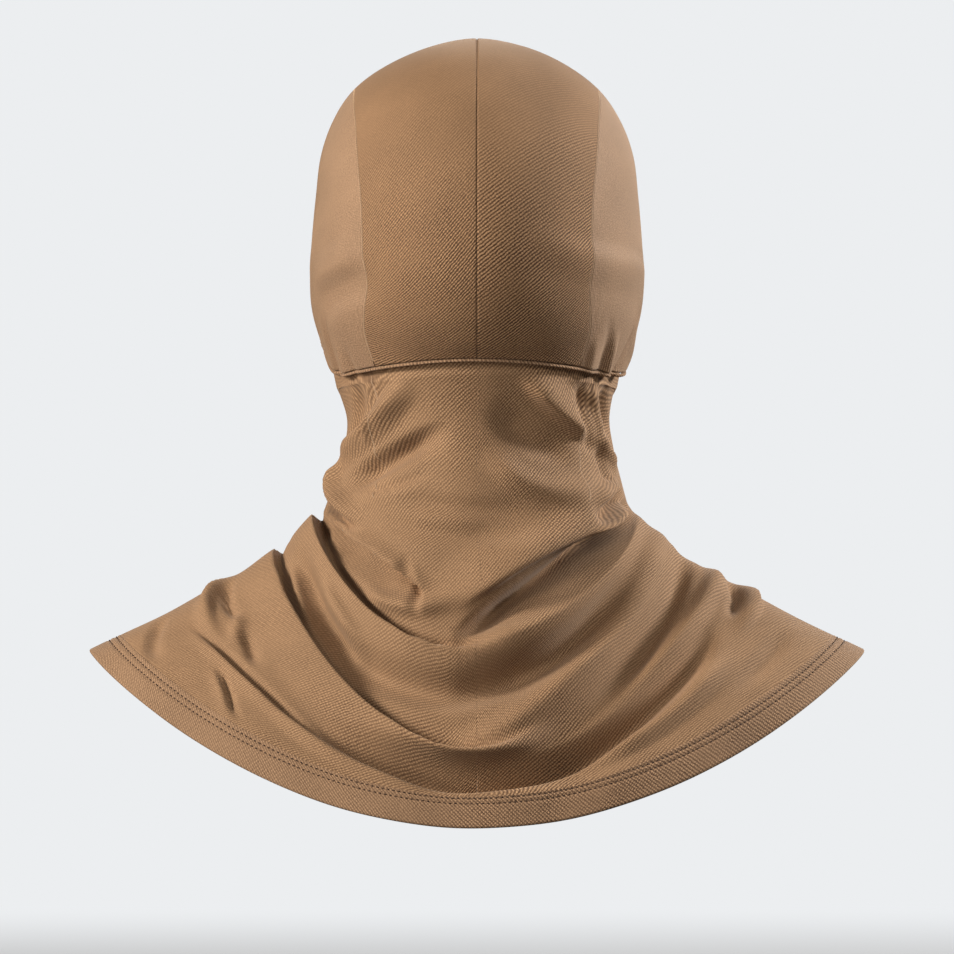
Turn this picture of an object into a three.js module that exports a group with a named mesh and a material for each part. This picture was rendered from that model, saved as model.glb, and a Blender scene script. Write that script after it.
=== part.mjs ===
// A convertible balaclava of knitted cloth, as it hangs when it is worn: a close head hood of a
// middle panel in two halves and two side panels, a welt and a binding along the hood's lower and
// face edge, and a neck piece that spreads over the shoulders and goes up in front as the mask.
// Units are millimetres and +Z is up. The face looks towards -Y. The origin is the inside of the
// top of the crown, where the head carries it.
import * as THREE from "three";

// Cloth and seams
const cloth = 1.6; // wall of the knit
const turnedEdge = 2.4; // two layers of cloth, pressed, at the welt, the bindings and the hem
const seamGap = 0.3; // clearance between two pieces that are sewn together
const weltWidth = 2.2; // height of the rib at the nape
const bindingWidth = 9; // width of the turned edge round the face
const maskEdgeWidth = 8; // width of the turned edge over the nose
const hemWidth = 15.6; // height of the turned hem
const lapDepth = 6; // how far the neck piece goes up inside the hood
const lapRoom = 0.7; // room between the hood's edge and the neck piece inside it

// The head that the hood is shaped to
const headWidth = 161; // across the ears
const headBack = 97.5; // from the crown's axis to the back of the head
const headFront = 96; // from the crown's axis to the face
const napeDrop = 156.6; // from the top down to the nape seam
const chinDrop = 200; // from the top down to the chin
const noseRise = 12; // how far the nose pushes the mask out
const noseWidth = 46; // across the bump that it makes
const noseLength = 76; // from top to bottom of the bump

// The neck
const neckWidth = 126; // at its narrowest
const neckBack = 61; // from the crown's axis to the back of the neck
const neckFront = 79; // from the crown's axis to the throat
const neckBackDrop = 134.4; // from the nape seam down to the first fold, at the back
const neckSideDrop = 65; // the same at the side
const neckFrontDrop = 70; // the same in front

// The cape over the shoulders
const capeWidth = 374; // between the two tips of the hem
const capeBack = 108; // from the crown's axis to the hem at the back
const capeFront = 118; // from the crown's axis to the hem in front
const capeBackDrop = 87.6; // from the first fold down to the hem, at the back
const capeSideDrop = 64; // the same at the side
const capeFrontDrop = 90; // the same in front

// Folds
const foldRise = 13; // height of a full fold
const foldSpread = 10; // distance over which a fold of width 1 runs out
const lipWidth = 8; // half of the stretch over which the two sides of a lip run into each other
const foldSteps = 20; // stretches in which a fold's line is followed

// Levels go from 0 at the top of the crown through these rings
const napeLevel = 1;
const hemLevel = 2;

const headHalf = headWidth / 2;
const neckHalf = neckWidth / 2;
const capeHalf = capeWidth / 2;
const degree = Math.PI / 180;
const halfTurn = 180;

// Rows of a table as objects with named columns.
function table(columns, rows) {
  return rows.map((row) => Object.fromEntries(columns.map((name, k) => [name, row[k]])));
}

// Sections of the hood. half, back and front are shares of headHalf, headBack and headFront,
// sideDrop and backDrop of napeDrop, frontDrop of chinDrop. bow is 1 where a section bends like a
// saddle between side and back, and less where it runs straighter.
const sectionColumns = ["level", "half", "sideDrop", "back", "backDrop", "front", "frontDrop", "bow"];
const hoodSections = table(sectionColumns, [
  [0, 0, 0, 0, 0, 0, 0, 1],
  [0.11, 0.273, 0.025, 0.277, 0.023, 0.271, 0.019, 1],
  [0.22, 0.528, 0.083, 0.533, 0.083, 0.51, 0.07, 1],
  [0.33, 0.73, 0.16, 0.744, 0.188, 0.708, 0.15, 1],
  [0.44, 0.857, 0.254, 0.882, 0.319, 0.844, 0.247, 1],
  [0.55, 0.935, 0.364, 0.964, 0.466, 0.922, 0.355, 1],
  [0.66, 0.965, 0.492, 1, 0.619, 0.958, 0.465, 1],
  [0.77, 0.989, 0.632, 0.979, 0.76, 0.979, 0.585, 0.8],
  [0.86, 1, 0.728, 0.913, 0.862, 0.995, 0.7, 0.6],
  [0.93, 0.979, 0.862, 0.821, 0.939, 1, 0.83, 0.5],
  [1, 0.851, 1.06, 0.718, 1, 0.985, 1, 0.5],
]);

// Sections of the neck. half, back and front are shares of neckHalf, neckBack and neckFront, and
// each drop is a share of the way from the nape seam to the first fold.
const neckSections = table(sectionColumns, [
  [1.06, 1.045, 0.07, 1.057, 0.077, 1.165, 0.186, 0.5],
  [1.14, 1, 0.277, 1, 0.204, 1.063, 0.343, 0.5],
  [1.24, 1.032, 0.492, 1.033, 0.375, 1, 0.514, 0.5],
  [1.34, 1.111, 0.738, 1.131, 0.591, 1.025, 0.67, 0.5],
  [1.44, 1.167, 0.923, 1.213, 0.829, 1.063, 0.86, 0.5],
  [1.5, 1.206, 1, 1.246, 1, 1.114, 1, 0.5],
]);

// Sections of the cape. Every column but the bow is a share of the way from the first fold to the
// hem.
const capeSections = table(sectionColumns, [
  [1.6, 0.09, 0.141, 0.219, 0.326, 0.2, 0.189, 0.5],
  [1.7, 0.171, 0.266, 0.406, 0.607, 0.4, 0.378, 0.5],
  [1.8, 0.432, 0.5, 0.594, 0.725, 0.6, 0.589, 0.8],
  [1.9, 0.721, 0.766, 0.813, 0.803, 0.8, 0.789, 1],
  [1.94, 0.878, 0.902, 0.906, 0.837, 0.9, 0.867, 1],
  [2, 1, 1, 1, 1, 1, 1, 0.85],
]);

// The folds. Each follows a curve from one place through the pull of a second to a third, given as
// a turn in degrees from the centre back and a level. above and below are its heights on its two
// sides as shares of foldRise, and the widths how far it runs out there as shares of foldSpread.
// fadeIn and fadeOut are the shares of its length over which its ends die.
const foldColumns = [
  "from", "pull", "to", "above", "below", "aboveWidth", "belowWidth", "fadeIn", "fadeOut",
];
const throatSide = 108; // turn at which the fold under the chin starts
const chestSide = 98; // turn at which the folds across the chest start
const acrossFront = (turn) => 2 * halfTurn - turn;
const folds = table(foldColumns, [
  // soft wrinkles of the hood over the ears
  [[40, 0.72], [57, 0.8], [80, 0.9], 0.2, 0.2, 1.1, 1.5, 0.4, 0.3],
  [[30, 0.78], [50, 0.85], [76, 0.95], -0.16, -0.16, 1.1, 1.5, 0.4, 0.3],
  [[-16, 0.66], [-42, 0.76], [-96, 0.89], 0.16, 0.16, 1.1, 1.6, 0.4, 0.3],
  // first roll, left: a crease with the roll's lip standing over it
  [[112, 1.485], [56, 1.57], [-16, 1.49], -0.5, 0.6, 1.2, 2.6, 0.4, 0.3],
  // edge of the neck's sag over the deep hollow, right, and the round crest of the first roll
  [[10, 1.495], [-26, 1.365], [-84, 1.44], 0.5, -0.6, 2.4, 1.3, 0.25, 0.35],
  [[16, 1.505], [-45, 1.475], [-106, 1.52], 0.6, 0.6, 1.1, 1.9, 0.25, 0.45],
  // soft edge of the sag, left, over the hollow inside the roll
  [[88, 1.45], [42, 1.385], [19, 1.455], 0.4, -0.45, 1.2, 1.1, 0.25, 0.2],
  // dent on the outside of the first roll, left
  [[78, 1.62], [58, 1.66], [40, 1.64], -0.4, -0.4, 1.1, 1.1, 0.3, 0.3],
  // valley below the first roll, left, middle and right
  [[54, 1.69], [20, 1.54], [-24, 1.56], -0.5, -0.5, 1.3, 1.2, 0.25, 0.35],
  [[10, 1.57], [-32, 1.545], [-74, 1.6], -0.7, -0.7, 1.3, 1.2, 0.3, 0.4],
  // second roll, left: crease and lip
  [[106, 1.68], [56, 1.77], [-10, 1.695], -0.5, 0.6, 1.2, 2.4, 0.45, 0.25],
  // crest of the second roll, right
  [[6, 1.71], [-46, 1.505], [-106, 1.695], 0.65, 0.65, 1.2, 2.2, 0.2, 0.4],
  // the cape falls in under the second roll
  [[46, 1.84], [0, 1.785], [-50, 1.81], -0.85, -0.85, 1.1, 1.1, 0.35, 0.35],
  // right shoulder: valley and ridge
  [[-100, 1.735], [-70, 1.755], [-42, 1.77], -0.45, -0.45, 1.1, 1.1, 0.35, 0.4],
  [[-104, 1.76], [-76, 1.77], [-50, 1.83], 0.4, 0.4, 1.1, 1.1, 0.45, 0.35],
  // left shoulder: valley, and the third crease with its lip
  [[86, 1.8], [68, 1.82], [50, 1.86], -0.3, -0.3, 1.1, 1.1, 0.35, 0.4],
  [[102, 1.755], [76, 1.9], [52, 1.9], -0.35, 0.3, 1.1, 1.3, 0.4, 0.35],
  [[40, 1.88], [24, 1.9], [6, 1.89], 0.25, 0.25, 1.1, 1.1, 0.35, 0.35],
  // neck, left: slanted ridge, the band under it, and the edge of the sag that curls back
  [[20, 1.03], [46, 1.15], [92, 1.29], 0.4, 0.4, 1.5, 1.1, 0.3, 0.25],
  [[8, 1.12], [36, 1.205], [84, 1.335], -0.38, -0.38, 1.1, 1.3, 0.35, 0.3],
  [[96, 1.29], [70, 1.385], [36, 1.385], 0.4, -0.3, 1.3, 1.1, 0.3, 0.35],
  // neck, middle: the long soft folds of the sag
  [[60, 1.305], [30, 1.3], [4, 1.255], 0.22, 0.22, 1.1, 1.1, 0.35, 0.4],
  [[50, 1.35], [0, 1.365], [-46, 1.315], -0.25, -0.25, 1.1, 1.1, 0.3, 0.3],
  // neck, right: slanted ridge, hollow inside it, deep valley and long low ridge
  [[-18, 1.02], [-36, 1.13], [-66, 1.2], 0.45, 0.45, 1.4, 1.1, 0.3, 0.25],
  [[-4, 1.1], [-22, 1.2], [-48, 1.235], -0.35, -0.35, 1.4, 1.1, 0.35, 0.3],
  [[-48, 1.05], [-60, 1.14], [-84, 1.22], -0.4, -0.4, 1.1, 1.1, 0.35, 0.25],
  [[-2, 1.2], [-24, 1.32], [-62, 1.295], 0.4, 0.4, 1.1, 1.1, 0.3, 0.3],
  // the loop of cloth rolled up at the right edge of the sag
  [[-44, 1.355], [-60, 1.36], [-84, 1.37], -0.4, -0.4, 1.1, 1.1, 0.25, 0.25],
  [[-38, 1.375], [-56, 1.395], [-86, 1.405], 0.45, 0.45, 1.1, 1.1, 0.25, 0.3],
  // front: folds under the chin and across the chest
  [[throatSide, 1.22], [halfTurn, 1.15], [acrossFront(throatSide), 1.22], -0.35, -0.35, 1.2, 1, 0.3, 0.3],
  [[chestSide, 1.49], [halfTurn, 1.475], [acrossFront(chestSide), 1.49], -0.5, 0.5, 1, 2.2, 0.3, 0.3],
  [[chestSide, 1.7], [halfTurn, 1.675], [acrossFront(chestSide), 1.7], -0.5, 0.5, 1, 2.2, 0.3, 0.3],
  [[throatSide, 1.82], [halfTurn, 1.8], [acrossFront(throatSide), 1.83], 0.3, 0.3, 1.5, 1.8, 0.3, 0.3],
]);

// The hood's edge: level of the edge by turn, and the width of the turned cloth along it as a share
// of the way from weltWidth to bindingWidth.
const edgeColumns = ["turn", "level", "width"];
const hoodEdge = table(edgeColumns, [
  [0, 1, 0],
  [60, 1, 0],
  [78, 0.992, 0],
  [90, 0.978, 0],
  [102, 0.952, 0.5],
  [114, 0.91, 1],
  [126, 0.84, 1],
  [138, 0.745, 1],
  [150, 0.665, 1],
  [164, 0.612, 1],
  [180, 0.6, 1],
]);

// The upper edge of the neck piece by turn, from the centre back, inside the hood, to the nose.
const maskTop = table(edgeColumns, [
  [0, 1, 0],
  [70, 0.996, 0],
  [90, 0.974, 0],
  [102, 0.945, 0.3],
  [114, 0.905, 1],
  [126, 0.86, 1],
  [138, 0.825, 1],
  [150, 0.805, 1],
  [164, 0.79, 1],
  [180, 0.775, 1],
]);

// The line of each side seam, from the brow over the top to the nape. level is a share of the level
// of the hood panels' lower edge at that turn.
const sideSeam = table(["along", "turn", "level"], [
  [0, 137, 1],
  [0.12, 131, 0.72],
  [0.26, 113, 0.43],
  [0.4, 84, 0.34],
  [0.52, 61, 0.42],
  [0.64, 49, 0.555],
  [0.76, 44.5, 0.7],
  [0.88, 42, 0.86],
  [1, 45, 1],
]);

// Levels at which the neck piece is sectioned below its upper edge, closer together at the lips.
const neckLevels = [
  1.12, 1.17, 1.22, 1.265, 1.31, 1.35, 1.385, 1.415, 1.445, 1.47, 1.49, 1.51, 1.535, 1.565, 1.6,
  1.635, 1.665, 1.69, 1.712, 1.74, 1.775, 1.81, 1.845, 1.88, 1.91,
];

// A value between two rows of a table, by a smooth curve through all its rows. The rows are sorted
// by the key column. The slope at a row is that between its two neighbours.
function smoothValue(rows, key, name, at) {
  let k = 0;
  while (k < rows.length - 2 && at > rows[k + 1][key]) k += 1;
  const slope = (i) => {
    const before = rows[Math.max(i - 1, 0)];
    const after = rows[Math.min(i + 1, rows.length - 1)];
    return (after[name] - before[name]) / (after[key] - before[key]);
  };
  const step = rows[k + 1][key] - rows[k][key];
  const f = (at - rows[k][key]) / step;
  const start = rows[k][name];
  const rise = rows[k + 1][name] - start;
  const slopeIn = slope(k) * step;
  const slopeOut = slope(k + 1) * step;
  const third = slopeIn + slopeOut - 2 * rise;
  return start + f * (slopeIn + f * (rise - slopeIn - third + f * third));
}

// A section in millimetres, from a row of shares of named sizes.
function section(row, sizes) {
  const made = { level: row.level, bow: row.bow };
  for (const name of ["half", "sideDrop", "back", "backDrop", "front", "frontDrop"]) {
    const [start, whole] = sizes[name];
    made[name] = start + row[name] * whole;
  }
  return made;
}

const hoodSizes = {
  half: [0, headHalf],
  sideDrop: [0, napeDrop],
  back: [0, headBack],
  backDrop: [0, napeDrop],
  front: [0, headFront],
  frontDrop: [0, chinDrop],
};
const hoodRings = hoodSections.map((row) => section(row, hoodSizes));
const nape = hoodRings[hoodRings.length - 1];

const neckSizes = {
  half: [0, neckHalf],
  sideDrop: [nape.sideDrop, neckSideDrop],
  back: [0, neckBack],
  backDrop: [nape.backDrop, neckBackDrop],
  front: [0, neckFront],
  frontDrop: [nape.frontDrop, neckFrontDrop],
};
const neckRings = neckSections.map((row) => section(row, neckSizes));
const shoulder = neckRings[neckRings.length - 1];

const capeSizes = {
  half: [shoulder.half, capeHalf - shoulder.half],
  sideDrop: [shoulder.sideDrop, capeSideDrop],
  back: [shoulder.back, capeBack - shoulder.back],
  backDrop: [shoulder.backDrop, capeBackDrop],
  front: [shoulder.front, capeFront - shoulder.front],
  frontDrop: [shoulder.frontDrop, capeFrontDrop],
};
const capeRings = capeSections.map((row) => section(row, capeSizes));

// The first section again, seen across the pole, makes the crown round there.
const acrossPole = { ...hoodRings[1] };
acrossPole.level = -acrossPole.level;
acrossPole.half = -acrossPole.half;
acrossPole.back = -acrossPole.back;
acrossPole.front = -acrossPole.front;
const rings = [acrossPole, ...hoodRings, ...neckRings, ...capeRings];

// How far a section has gone down towards its back or front, 0 at the side and 1 at the middle.
const middleEase = 0.15;
function wayToMiddle(cosine, bow) {
  const reach = Math.sqrt(cosine * cosine + middleEase * middleEase) - middleEase;
  const straight = reach / (Math.sqrt(1 + middleEase * middleEase) - middleEase);
  return bow * cosine * cosine + (1 - bow) * straight;
}

// The plain form without folds: a place on the outside of the cloth.
function plainPlace(turn, level) {
  const value = (name) => smoothValue(rings, "level", name, level);
  const sine = Math.sin(turn * degree);
  const cosine = Math.cos(turn * degree);
  const atBack = cosine >= 0;
  const reach = value(atBack ? "back" : "front");
  const middleDrop = value(atBack ? "backDrop" : "frontDrop");
  const sideDrop = value("sideDrop");
  const way = wayToMiddle(cosine, value("bow"));
  const drop = sideDrop + (middleDrop - sideDrop) * way;
  return new THREE.Vector3(value("half") * sine, reach * cosine, cloth - drop);
}

// The direction out of a surface, from two short steps across it. Over the pole the two steps are
// taken in the flat map in which a place is its level in the direction of its turn.
const probe = 0.004;
function outwards(place, turn, level) {
  const across = level * Math.sin(turn * degree);
  const along = level * Math.cos(turn * degree);
  const at = (p, q) => place(Math.atan2(p, q) / degree, Math.hypot(p, q));
  const stepAcross = at(across + probe, along).sub(at(across - probe, along));
  const stepAlong = at(across, along + probe).sub(at(across, along - probe));
  return stepAcross.cross(stepAlong).normalize();
}

// A fold's line, followed on the plain form.
function foldLine(fold) {
  const points = [];
  for (let i = 0; i <= foldSteps; i += 1) {
    const s = i / foldSteps;
    const [turn, level] = [0, 1].map(
      (k) => (1 - s) * (1 - s) * fold.from[k] + 2 * s * (1 - s) * fold.pull[k] + s * s * fold.to[k],
    );
    points.push(plainPlace(turn, level));
  }
  return points;
}
const foldLines = folds.map(foldLine);

const within = (value, low, high) => Math.min(Math.max(value, low), high);
const mix = (a, b, f) => a + (b - a) * f;
const ease = (x) => {
  const f = within(x, 0, 1);
  return f * f * (3 - 2 * f);
};

// The height that one fold gives to a place: its nearest point on the fold's line decides which
// side the place lies on, how far away it is and how far along the fold. The height falls to
// nothing over the fold's width, and where its two sides differ, one runs into the other.
function foldHeight(fold, line, point, normal) {
  let nearest = Infinity;
  let along = 0;
  let side = 1;
  const stretch = new THREE.Vector3();
  const offset = new THREE.Vector3();
  for (let i = 0; i < foldSteps; i += 1) {
    stretch.subVectors(line[i + 1], line[i]);
    offset.subVectors(point, line[i]);
    const f = Math.min(Math.max(offset.dot(stretch) / stretch.lengthSq(), 0), 1);
    offset.addScaledVector(stretch, -f);
    const distance = offset.length();
    if (distance < nearest) {
      nearest = distance;
      along = (i + f) / foldSteps;
      side = stretch.cross(normal).dot(offset) >= 0 ? 1 : -1;
    }
  }
  const width = (side > 0 ? fold.belowWidth : fold.aboveWidth) * foldSpread;
  const x = Math.min(nearest / width, 1);
  const height = mix(fold.above, fold.below, ease(1 / 2 + (side * nearest) / (2 * lipWidth)));
  const ends = ease(along / fold.fadeIn) * ease((1 - along) / fold.fadeOut);
  return height * (1 - x) * (1 - x) * (1 + 2 * x) * ends * foldRise;
}

// The bump that the nose makes in the mask.
const noseTurn = 180;
const noseLevel = 0.9;
const noseTip = plainPlace(noseTurn, noseLevel);
function noseHeight(point) {
  if (point.y > 0) return 0;
  const across = Math.abs(point.x) / (noseWidth / 2);
  const down = Math.abs(point.z - noseTip.z) / (noseLength / 2);
  return across < 1 && down < 1 ? noseRise * (1 - across * across) ** 2 * (1 - down * down) ** 2 : 0;
}

// The worn form: the plain form raised by the folds and the nose. The nape seam holds the cloth
// nearly flat along it.
const seamHold = 0.2; // what the seam leaves of a fold
const seamReach = 0.06; // levels over which it lets go
function wornPlace(turn, level) {
  const point = plainPlace(turn, level);
  const normal = outwards(plainPlace, turn, level);
  let height = 0;
  folds.forEach((fold, k) => {
    height += foldHeight(fold, foldLines[k], point, normal);
  });
  height *= seamHold + (1 - seamHold) * ease(Math.abs(level - napeLevel) / seamReach);
  return point.addScaledVector(normal, height + noseHeight(point));
}

// A place in the flat map of the hood, {p, q}, and the same place as a turn and a level.
const flat = (turn, level) => ({ p: level * Math.sin(turn * degree), q: level * Math.cos(turn * degree) });
const turnOf = (place) => Math.atan2(place.p, place.q) / degree;
const levelOf = (place) => Math.hypot(place.p, place.q);

const foldedTurn = (turn) => {
  const wrapped = ((turn % (2 * halfTurn)) + 2 * halfTurn) % (2 * halfTurn);
  return wrapped > halfTurn ? 2 * halfTurn - wrapped : wrapped;
};

// The level at a real distance above an edge, which gives a level for each turn. Two short steps on
// the plain form give the edge's slant and the length of a level there.
function levelAbove(edgeLevel, turn, distance) {
  const level = edgeLevel(turn);
  const turnStep = probe / degree;
  const here = plainPlace(turn, level);
  const edgeStep = plainPlace(turn + turnStep, edgeLevel(turn + turnStep)).sub(here).normalize();
  const upStep = plainPlace(turn, level - probe).sub(here);
  const square = upStep.clone().addScaledVector(edgeStep, -upStep.dot(edgeStep)).length();
  return level - (distance / square) * probe;
}

const hoodEdgeLevel = (turn) => smoothValue(hoodEdge, "turn", "level", foldedTurn(turn));
const edgeBand = (turn) => {
  const share = within(smoothValue(hoodEdge, "turn", "width", foldedTurn(turn)), 0, 1);
  return weltWidth + (bindingWidth - weltWidth) * share;
};
const bandTop = (turn) => levelAbove(hoodEdgeLevel, turn, edgeBand(turn));
const panelEdge = (turn) => levelAbove(hoodEdgeLevel, turn, edgeBand(turn) + seamGap);

// The place beside a line of the flat map at a real distance, towards larger p. Two short steps of
// the map and one along the line give the direction across the line on the plain form.
function beside(line, s, distance) {
  const here = line(s);
  const at = (p, q) => plainPlace(Math.atan2(p, q) / degree, Math.hypot(p, q));
  const point = at(here.p, here.q);
  const stepP = at(here.p + probe, here.q).sub(point);
  const stepQ = at(here.p, here.q + probe).sub(point);
  const behind = line(Math.max(s - probe, 0));
  const ahead = line(Math.min(s + probe, 1));
  const run = at(ahead.p, ahead.q).sub(at(behind.p, behind.q));
  const normal = stepP.clone().cross(stepQ).normalize();
  const across = run.cross(normal).normalize().multiplyScalar(distance);
  const pp = stepP.dot(stepP);
  const pq = stepP.dot(stepQ);
  const qq = stepQ.dot(stepQ);
  const scale = probe / (pp * qq - pq * pq);
  return {
    p: here.p + scale * (qq * across.dot(stepP) - pq * across.dot(stepQ)),
    q: here.q + scale * (pp * across.dot(stepQ) - pq * across.dot(stepP)),
  };
}

// A line over the head, moved sideways by a real distance, with both ends on the panels' edge.
function lineOverHead(line, shift) {
  const place = (s) => beside(line, s, shift);
  const frontTurn = turnOf(place(0));
  const backTurn = turnOf(place(1));
  const at = (s) => {
    if (s === 0) return flat(frontTurn, panelEdge(frontTurn));
    if (s === 1) return flat(backTurn, panelEdge(backTurn));
    return place(s);
  };
  return { frontTurn, backTurn, at };
}

// A patch of the flat map between four lines that meet at their ends.
function patch(left, right, start, end) {
  return (s, r) => {
    const at = (name) => {
      const rows = (1 - r) * left(s)[name] + r * right(s)[name];
      const columns = (1 - s) * start(r)[name] + s * end(r)[name];
      const startCorners = (1 - r) * start(0)[name] + r * start(1)[name];
      const endCorners = (1 - r) * end(0)[name] + r * end(1)[name];
      return rows + columns - (1 - s) * startCorners - s * endCorners;
    };
    return { p: at("p"), q: at("q") };
  };
}

// A wall of cloth over a grid. placeAt gives a turn and a level for a row and a column, both from 0
// to 1. The outer side stands proud of the worn form, and the inner side lies one wall inside it.
// A grid that closes has its last column on its first.
function wall(rows, columns, placeAt, proud, thickness, closes = false) {
  const outer = [];
  const inner = [];
  const across = closes ? columns : columns + 1;
  for (let i = 0; i <= rows; i += 1) {
    for (let j = 0; j < across; j += 1) {
      const { turn, level } = placeAt(i / rows, j / columns);
      const normal = outwards(wornPlace, turn, level);
      const rise = typeof proud === "function" ? proud(turn, level) : proud;
      const point = wornPlace(turn, level).addScaledVector(normal, rise);
      outer.push(point);
      inner.push(point.clone().addScaledVector(normal, -thickness));
    }
  }
  const positions = [...outer, ...inner].flatMap((v) => [v.x, v.y, v.z]);
  const shift = outer.length;
  const index = [];
  const at = (i, j) => i * across + (closes ? j % columns : j);
  const quad = (a, b, c, d) => index.push(a, b, c, a, c, d);
  for (let i = 0; i < rows; i += 1) {
    for (let j = 0; j < columns; j += 1) {
      quad(at(i, j), at(i, j + 1), at(i + 1, j + 1), at(i + 1, j));
      quad(shift + at(i, j), shift + at(i + 1, j), shift + at(i + 1, j + 1), shift + at(i, j + 1));
    }
  }
  for (let j = 0; j < columns; j += 1) {
    quad(at(0, j + 1), at(0, j), shift + at(0, j), shift + at(0, j + 1));
    quad(at(rows, j), at(rows, j + 1), shift + at(rows, j + 1), shift + at(rows, j));
  }
  if (!closes) {
    for (let i = 0; i < rows; i += 1) {
      quad(at(i, 0), at(i + 1, 0), shift + at(i + 1, 0), shift + at(i, 0));
      quad(at(i + 1, columns), at(i, columns), shift + at(i, columns), shift + at(i + 1, columns));
    }
  }
  const geometry = new THREE.BufferGeometry();
  geometry.setAttribute("position", new THREE.Float32BufferAttribute(positions, 3));
  geometry.setIndex(index);
  if (signedVolume(positions, index) < 0) {
    for (let i = 0; i < index.length; i += 3) [index[i + 1], index[i + 2]] = [index[i + 2], index[i + 1]];
    geometry.setIndex(index);
  }
  geometry.computeVertexNormals();
  return geometry;
}

// Six times the volume that a closed mesh holds, negative if its faces point inwards.
function signedVolume(positions, index) {
  const corner = (k) => new THREE.Vector3().fromArray(positions, 3 * index[k]);
  let volume = 0;
  for (let k = 0; k < index.length; k += 3) volume += corner(k).dot(corner(k + 1).cross(corner(k + 2)));
  return volume;
}

// Materials: the hood and neck are twill knit, the side panels a smooth jersey
const knit = (name, color, roughness) =>
  new THREE.MeshStandardMaterial({ name, color, roughness, metalness: 0 });
const twillKnit = knit("twill_knit", 0x94694b, 0.92);
const smoothKnit = knit("smooth_knit", 0xb08e70, 0.85);
const edgeKnit = knit("edge_knit", 0x896950, 0.9);

const balaclava = new THREE.Group();
balaclava.name = "convertible_balaclava";

function addPiece(name, geometry, material) {
  const piece = new THREE.Mesh(geometry, material.clone());
  piece.name = name;
  balaclava.add(piece);
}

// The middle panel and the side panels, the right ones by mirroring the turn
const middleOfHood = (s) => ({ p: 0, q: mix(-panelEdge(halfTurn), panelEdge(0), s) });
const seamOfHood = (s) => {
  const turn = smoothValue(sideSeam, "along", "turn", s);
  return flat(turn, smoothValue(sideSeam, "along", "level", s) * panelEdge(turn));
};
const middleLine = lineOverHead(middleOfHood, seamGap / 2);
const crownSide = lineOverHead(seamOfHood, -seamGap / 2);
const panelSide = lineOverHead(seamOfHood, seamGap / 2);
const edgeBetween = (fromTurn, toTurn) => (r) => {
  const turn = mix(fromTurn, toTurn, r);
  return flat(turn, panelEdge(turn));
};
const crownPatch = patch(
  middleLine.at,
  crownSide.at,
  edgeBetween(middleLine.frontTurn, crownSide.frontTurn),
  edgeBetween(middleLine.backTurn, crownSide.backTurn),
);

// The side panel's far side runs along the lower part of the hood's edge, between these two turns
const panelFrontTurn = 120;
const panelBackTurn = 75;
const sidePatch = patch(
  panelSide.at,
  edgeBetween(panelFrontTurn, panelBackTurn),
  edgeBetween(panelSide.frontTurn, panelFrontTurn),
  edgeBetween(panelSide.backTurn, panelBackTurn),
);

const hoodRows = 18;
const crownColumns = 7;
const sideColumns = 8;
for (const [side, sign] of [["left", 1], ["right", -1]]) {
  const onPatch = (made) => (s, r) => {
    const place = made(s, r);
    return { turn: sign * turnOf(place), level: levelOf(place) };
  };
  addPiece("crown_" + side, wall(hoodRows, crownColumns, onPatch(crownPatch), 0, cloth), twillKnit);
  addPiece("side_panel_" + side, wall(hoodRows, sideColumns, onPatch(sidePatch), 0, cloth), smoothKnit);
}

// The turned edge of the hood: the welt round the nape and the binding round the face. It stands
// proud of the hood on both sides. Its sections lie at the turns where the panels' edges have
// theirs, so that the two follow each other.
const outsideShare = 0.75; // how much of its extra thickness lies outside
const edgeProud = (turnedEdge - cloth) * outsideShare;
const stretches = [
  { from: middleLine.backTurn, to: crownSide.backTurn, steps: crownColumns },
  { from: panelSide.backTurn, to: panelBackTurn, steps: sideColumns },
  { from: panelBackTurn, to: panelFrontTurn, steps: hoodRows },
  { from: panelFrontTurn, to: panelSide.frontTurn, steps: sideColumns },
  { from: crownSide.frontTurn, to: middleLine.frontTurn, steps: crownColumns },
];
const halfTurns = stretches.flatMap(({ from, to, steps }) =>
  Array.from({ length: steps }, (_, k) => mix(from, to, (k + 1) / steps)),
);
const weltEnds = Math.round(halfTurns.length / 2);
const backTurns = halfTurns.slice(0, weltEnds);
const frontTurns = halfTurns.slice(weltEnds - 1);
const weltTurns = [...backTurns.map((turn) => -turn).reverse(), ...backTurns];
const bindingTurns = [...frontTurns, ...frontTurns.map((turn) => 2 * halfTurn - turn).reverse()];
const pieceGap = seamGap / (nape.half * degree);
bindingTurns[0] += pieceGap;
bindingTurns[bindingTurns.length - 1] -= pieceGap;
function edgeWall(turns) {
  const columns = turns.length - 1;
  const placeAt = (r, s) => {
    const turn = turns[Math.round(s * columns)];
    return { turn, level: mix(bandTop(turn), hoodEdgeLevel(turn), r) };
  };
  return wall(1, columns, placeAt, edgeProud, turnedEdge);
}
addPiece("nape_welt", edgeWall(weltTurns), edgeKnit);
addPiece("face_binding", edgeWall(bindingTurns), edgeKnit);

// The neck piece lies inside the hood by the hood's edge and a clearance, and comes out to the worn
// form below the nape seam.
const lapInset = turnedEdge - edgeProud + lapRoom;
const lapEnd = 1.06;
const lapStart = 0.008;
function lapRise(turn, level) {
  const start = hoodEdgeLevel(turn) + lapStart;
  return -lapInset * (1 - ease((level - start) / (lapEnd - start)));
}

// Millimetres to a level at the nape and at the hem
const levelLength = (turn, level) =>
  plainPlace(turn, level - probe).distanceTo(plainPlace(turn, level)) / probe;
const napeScale = levelLength(0, napeLevel);
const hemScale = levelLength(halfTurn / 2, hemLevel);
const hemTop = hemLevel - hemWidth / hemScale;

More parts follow.
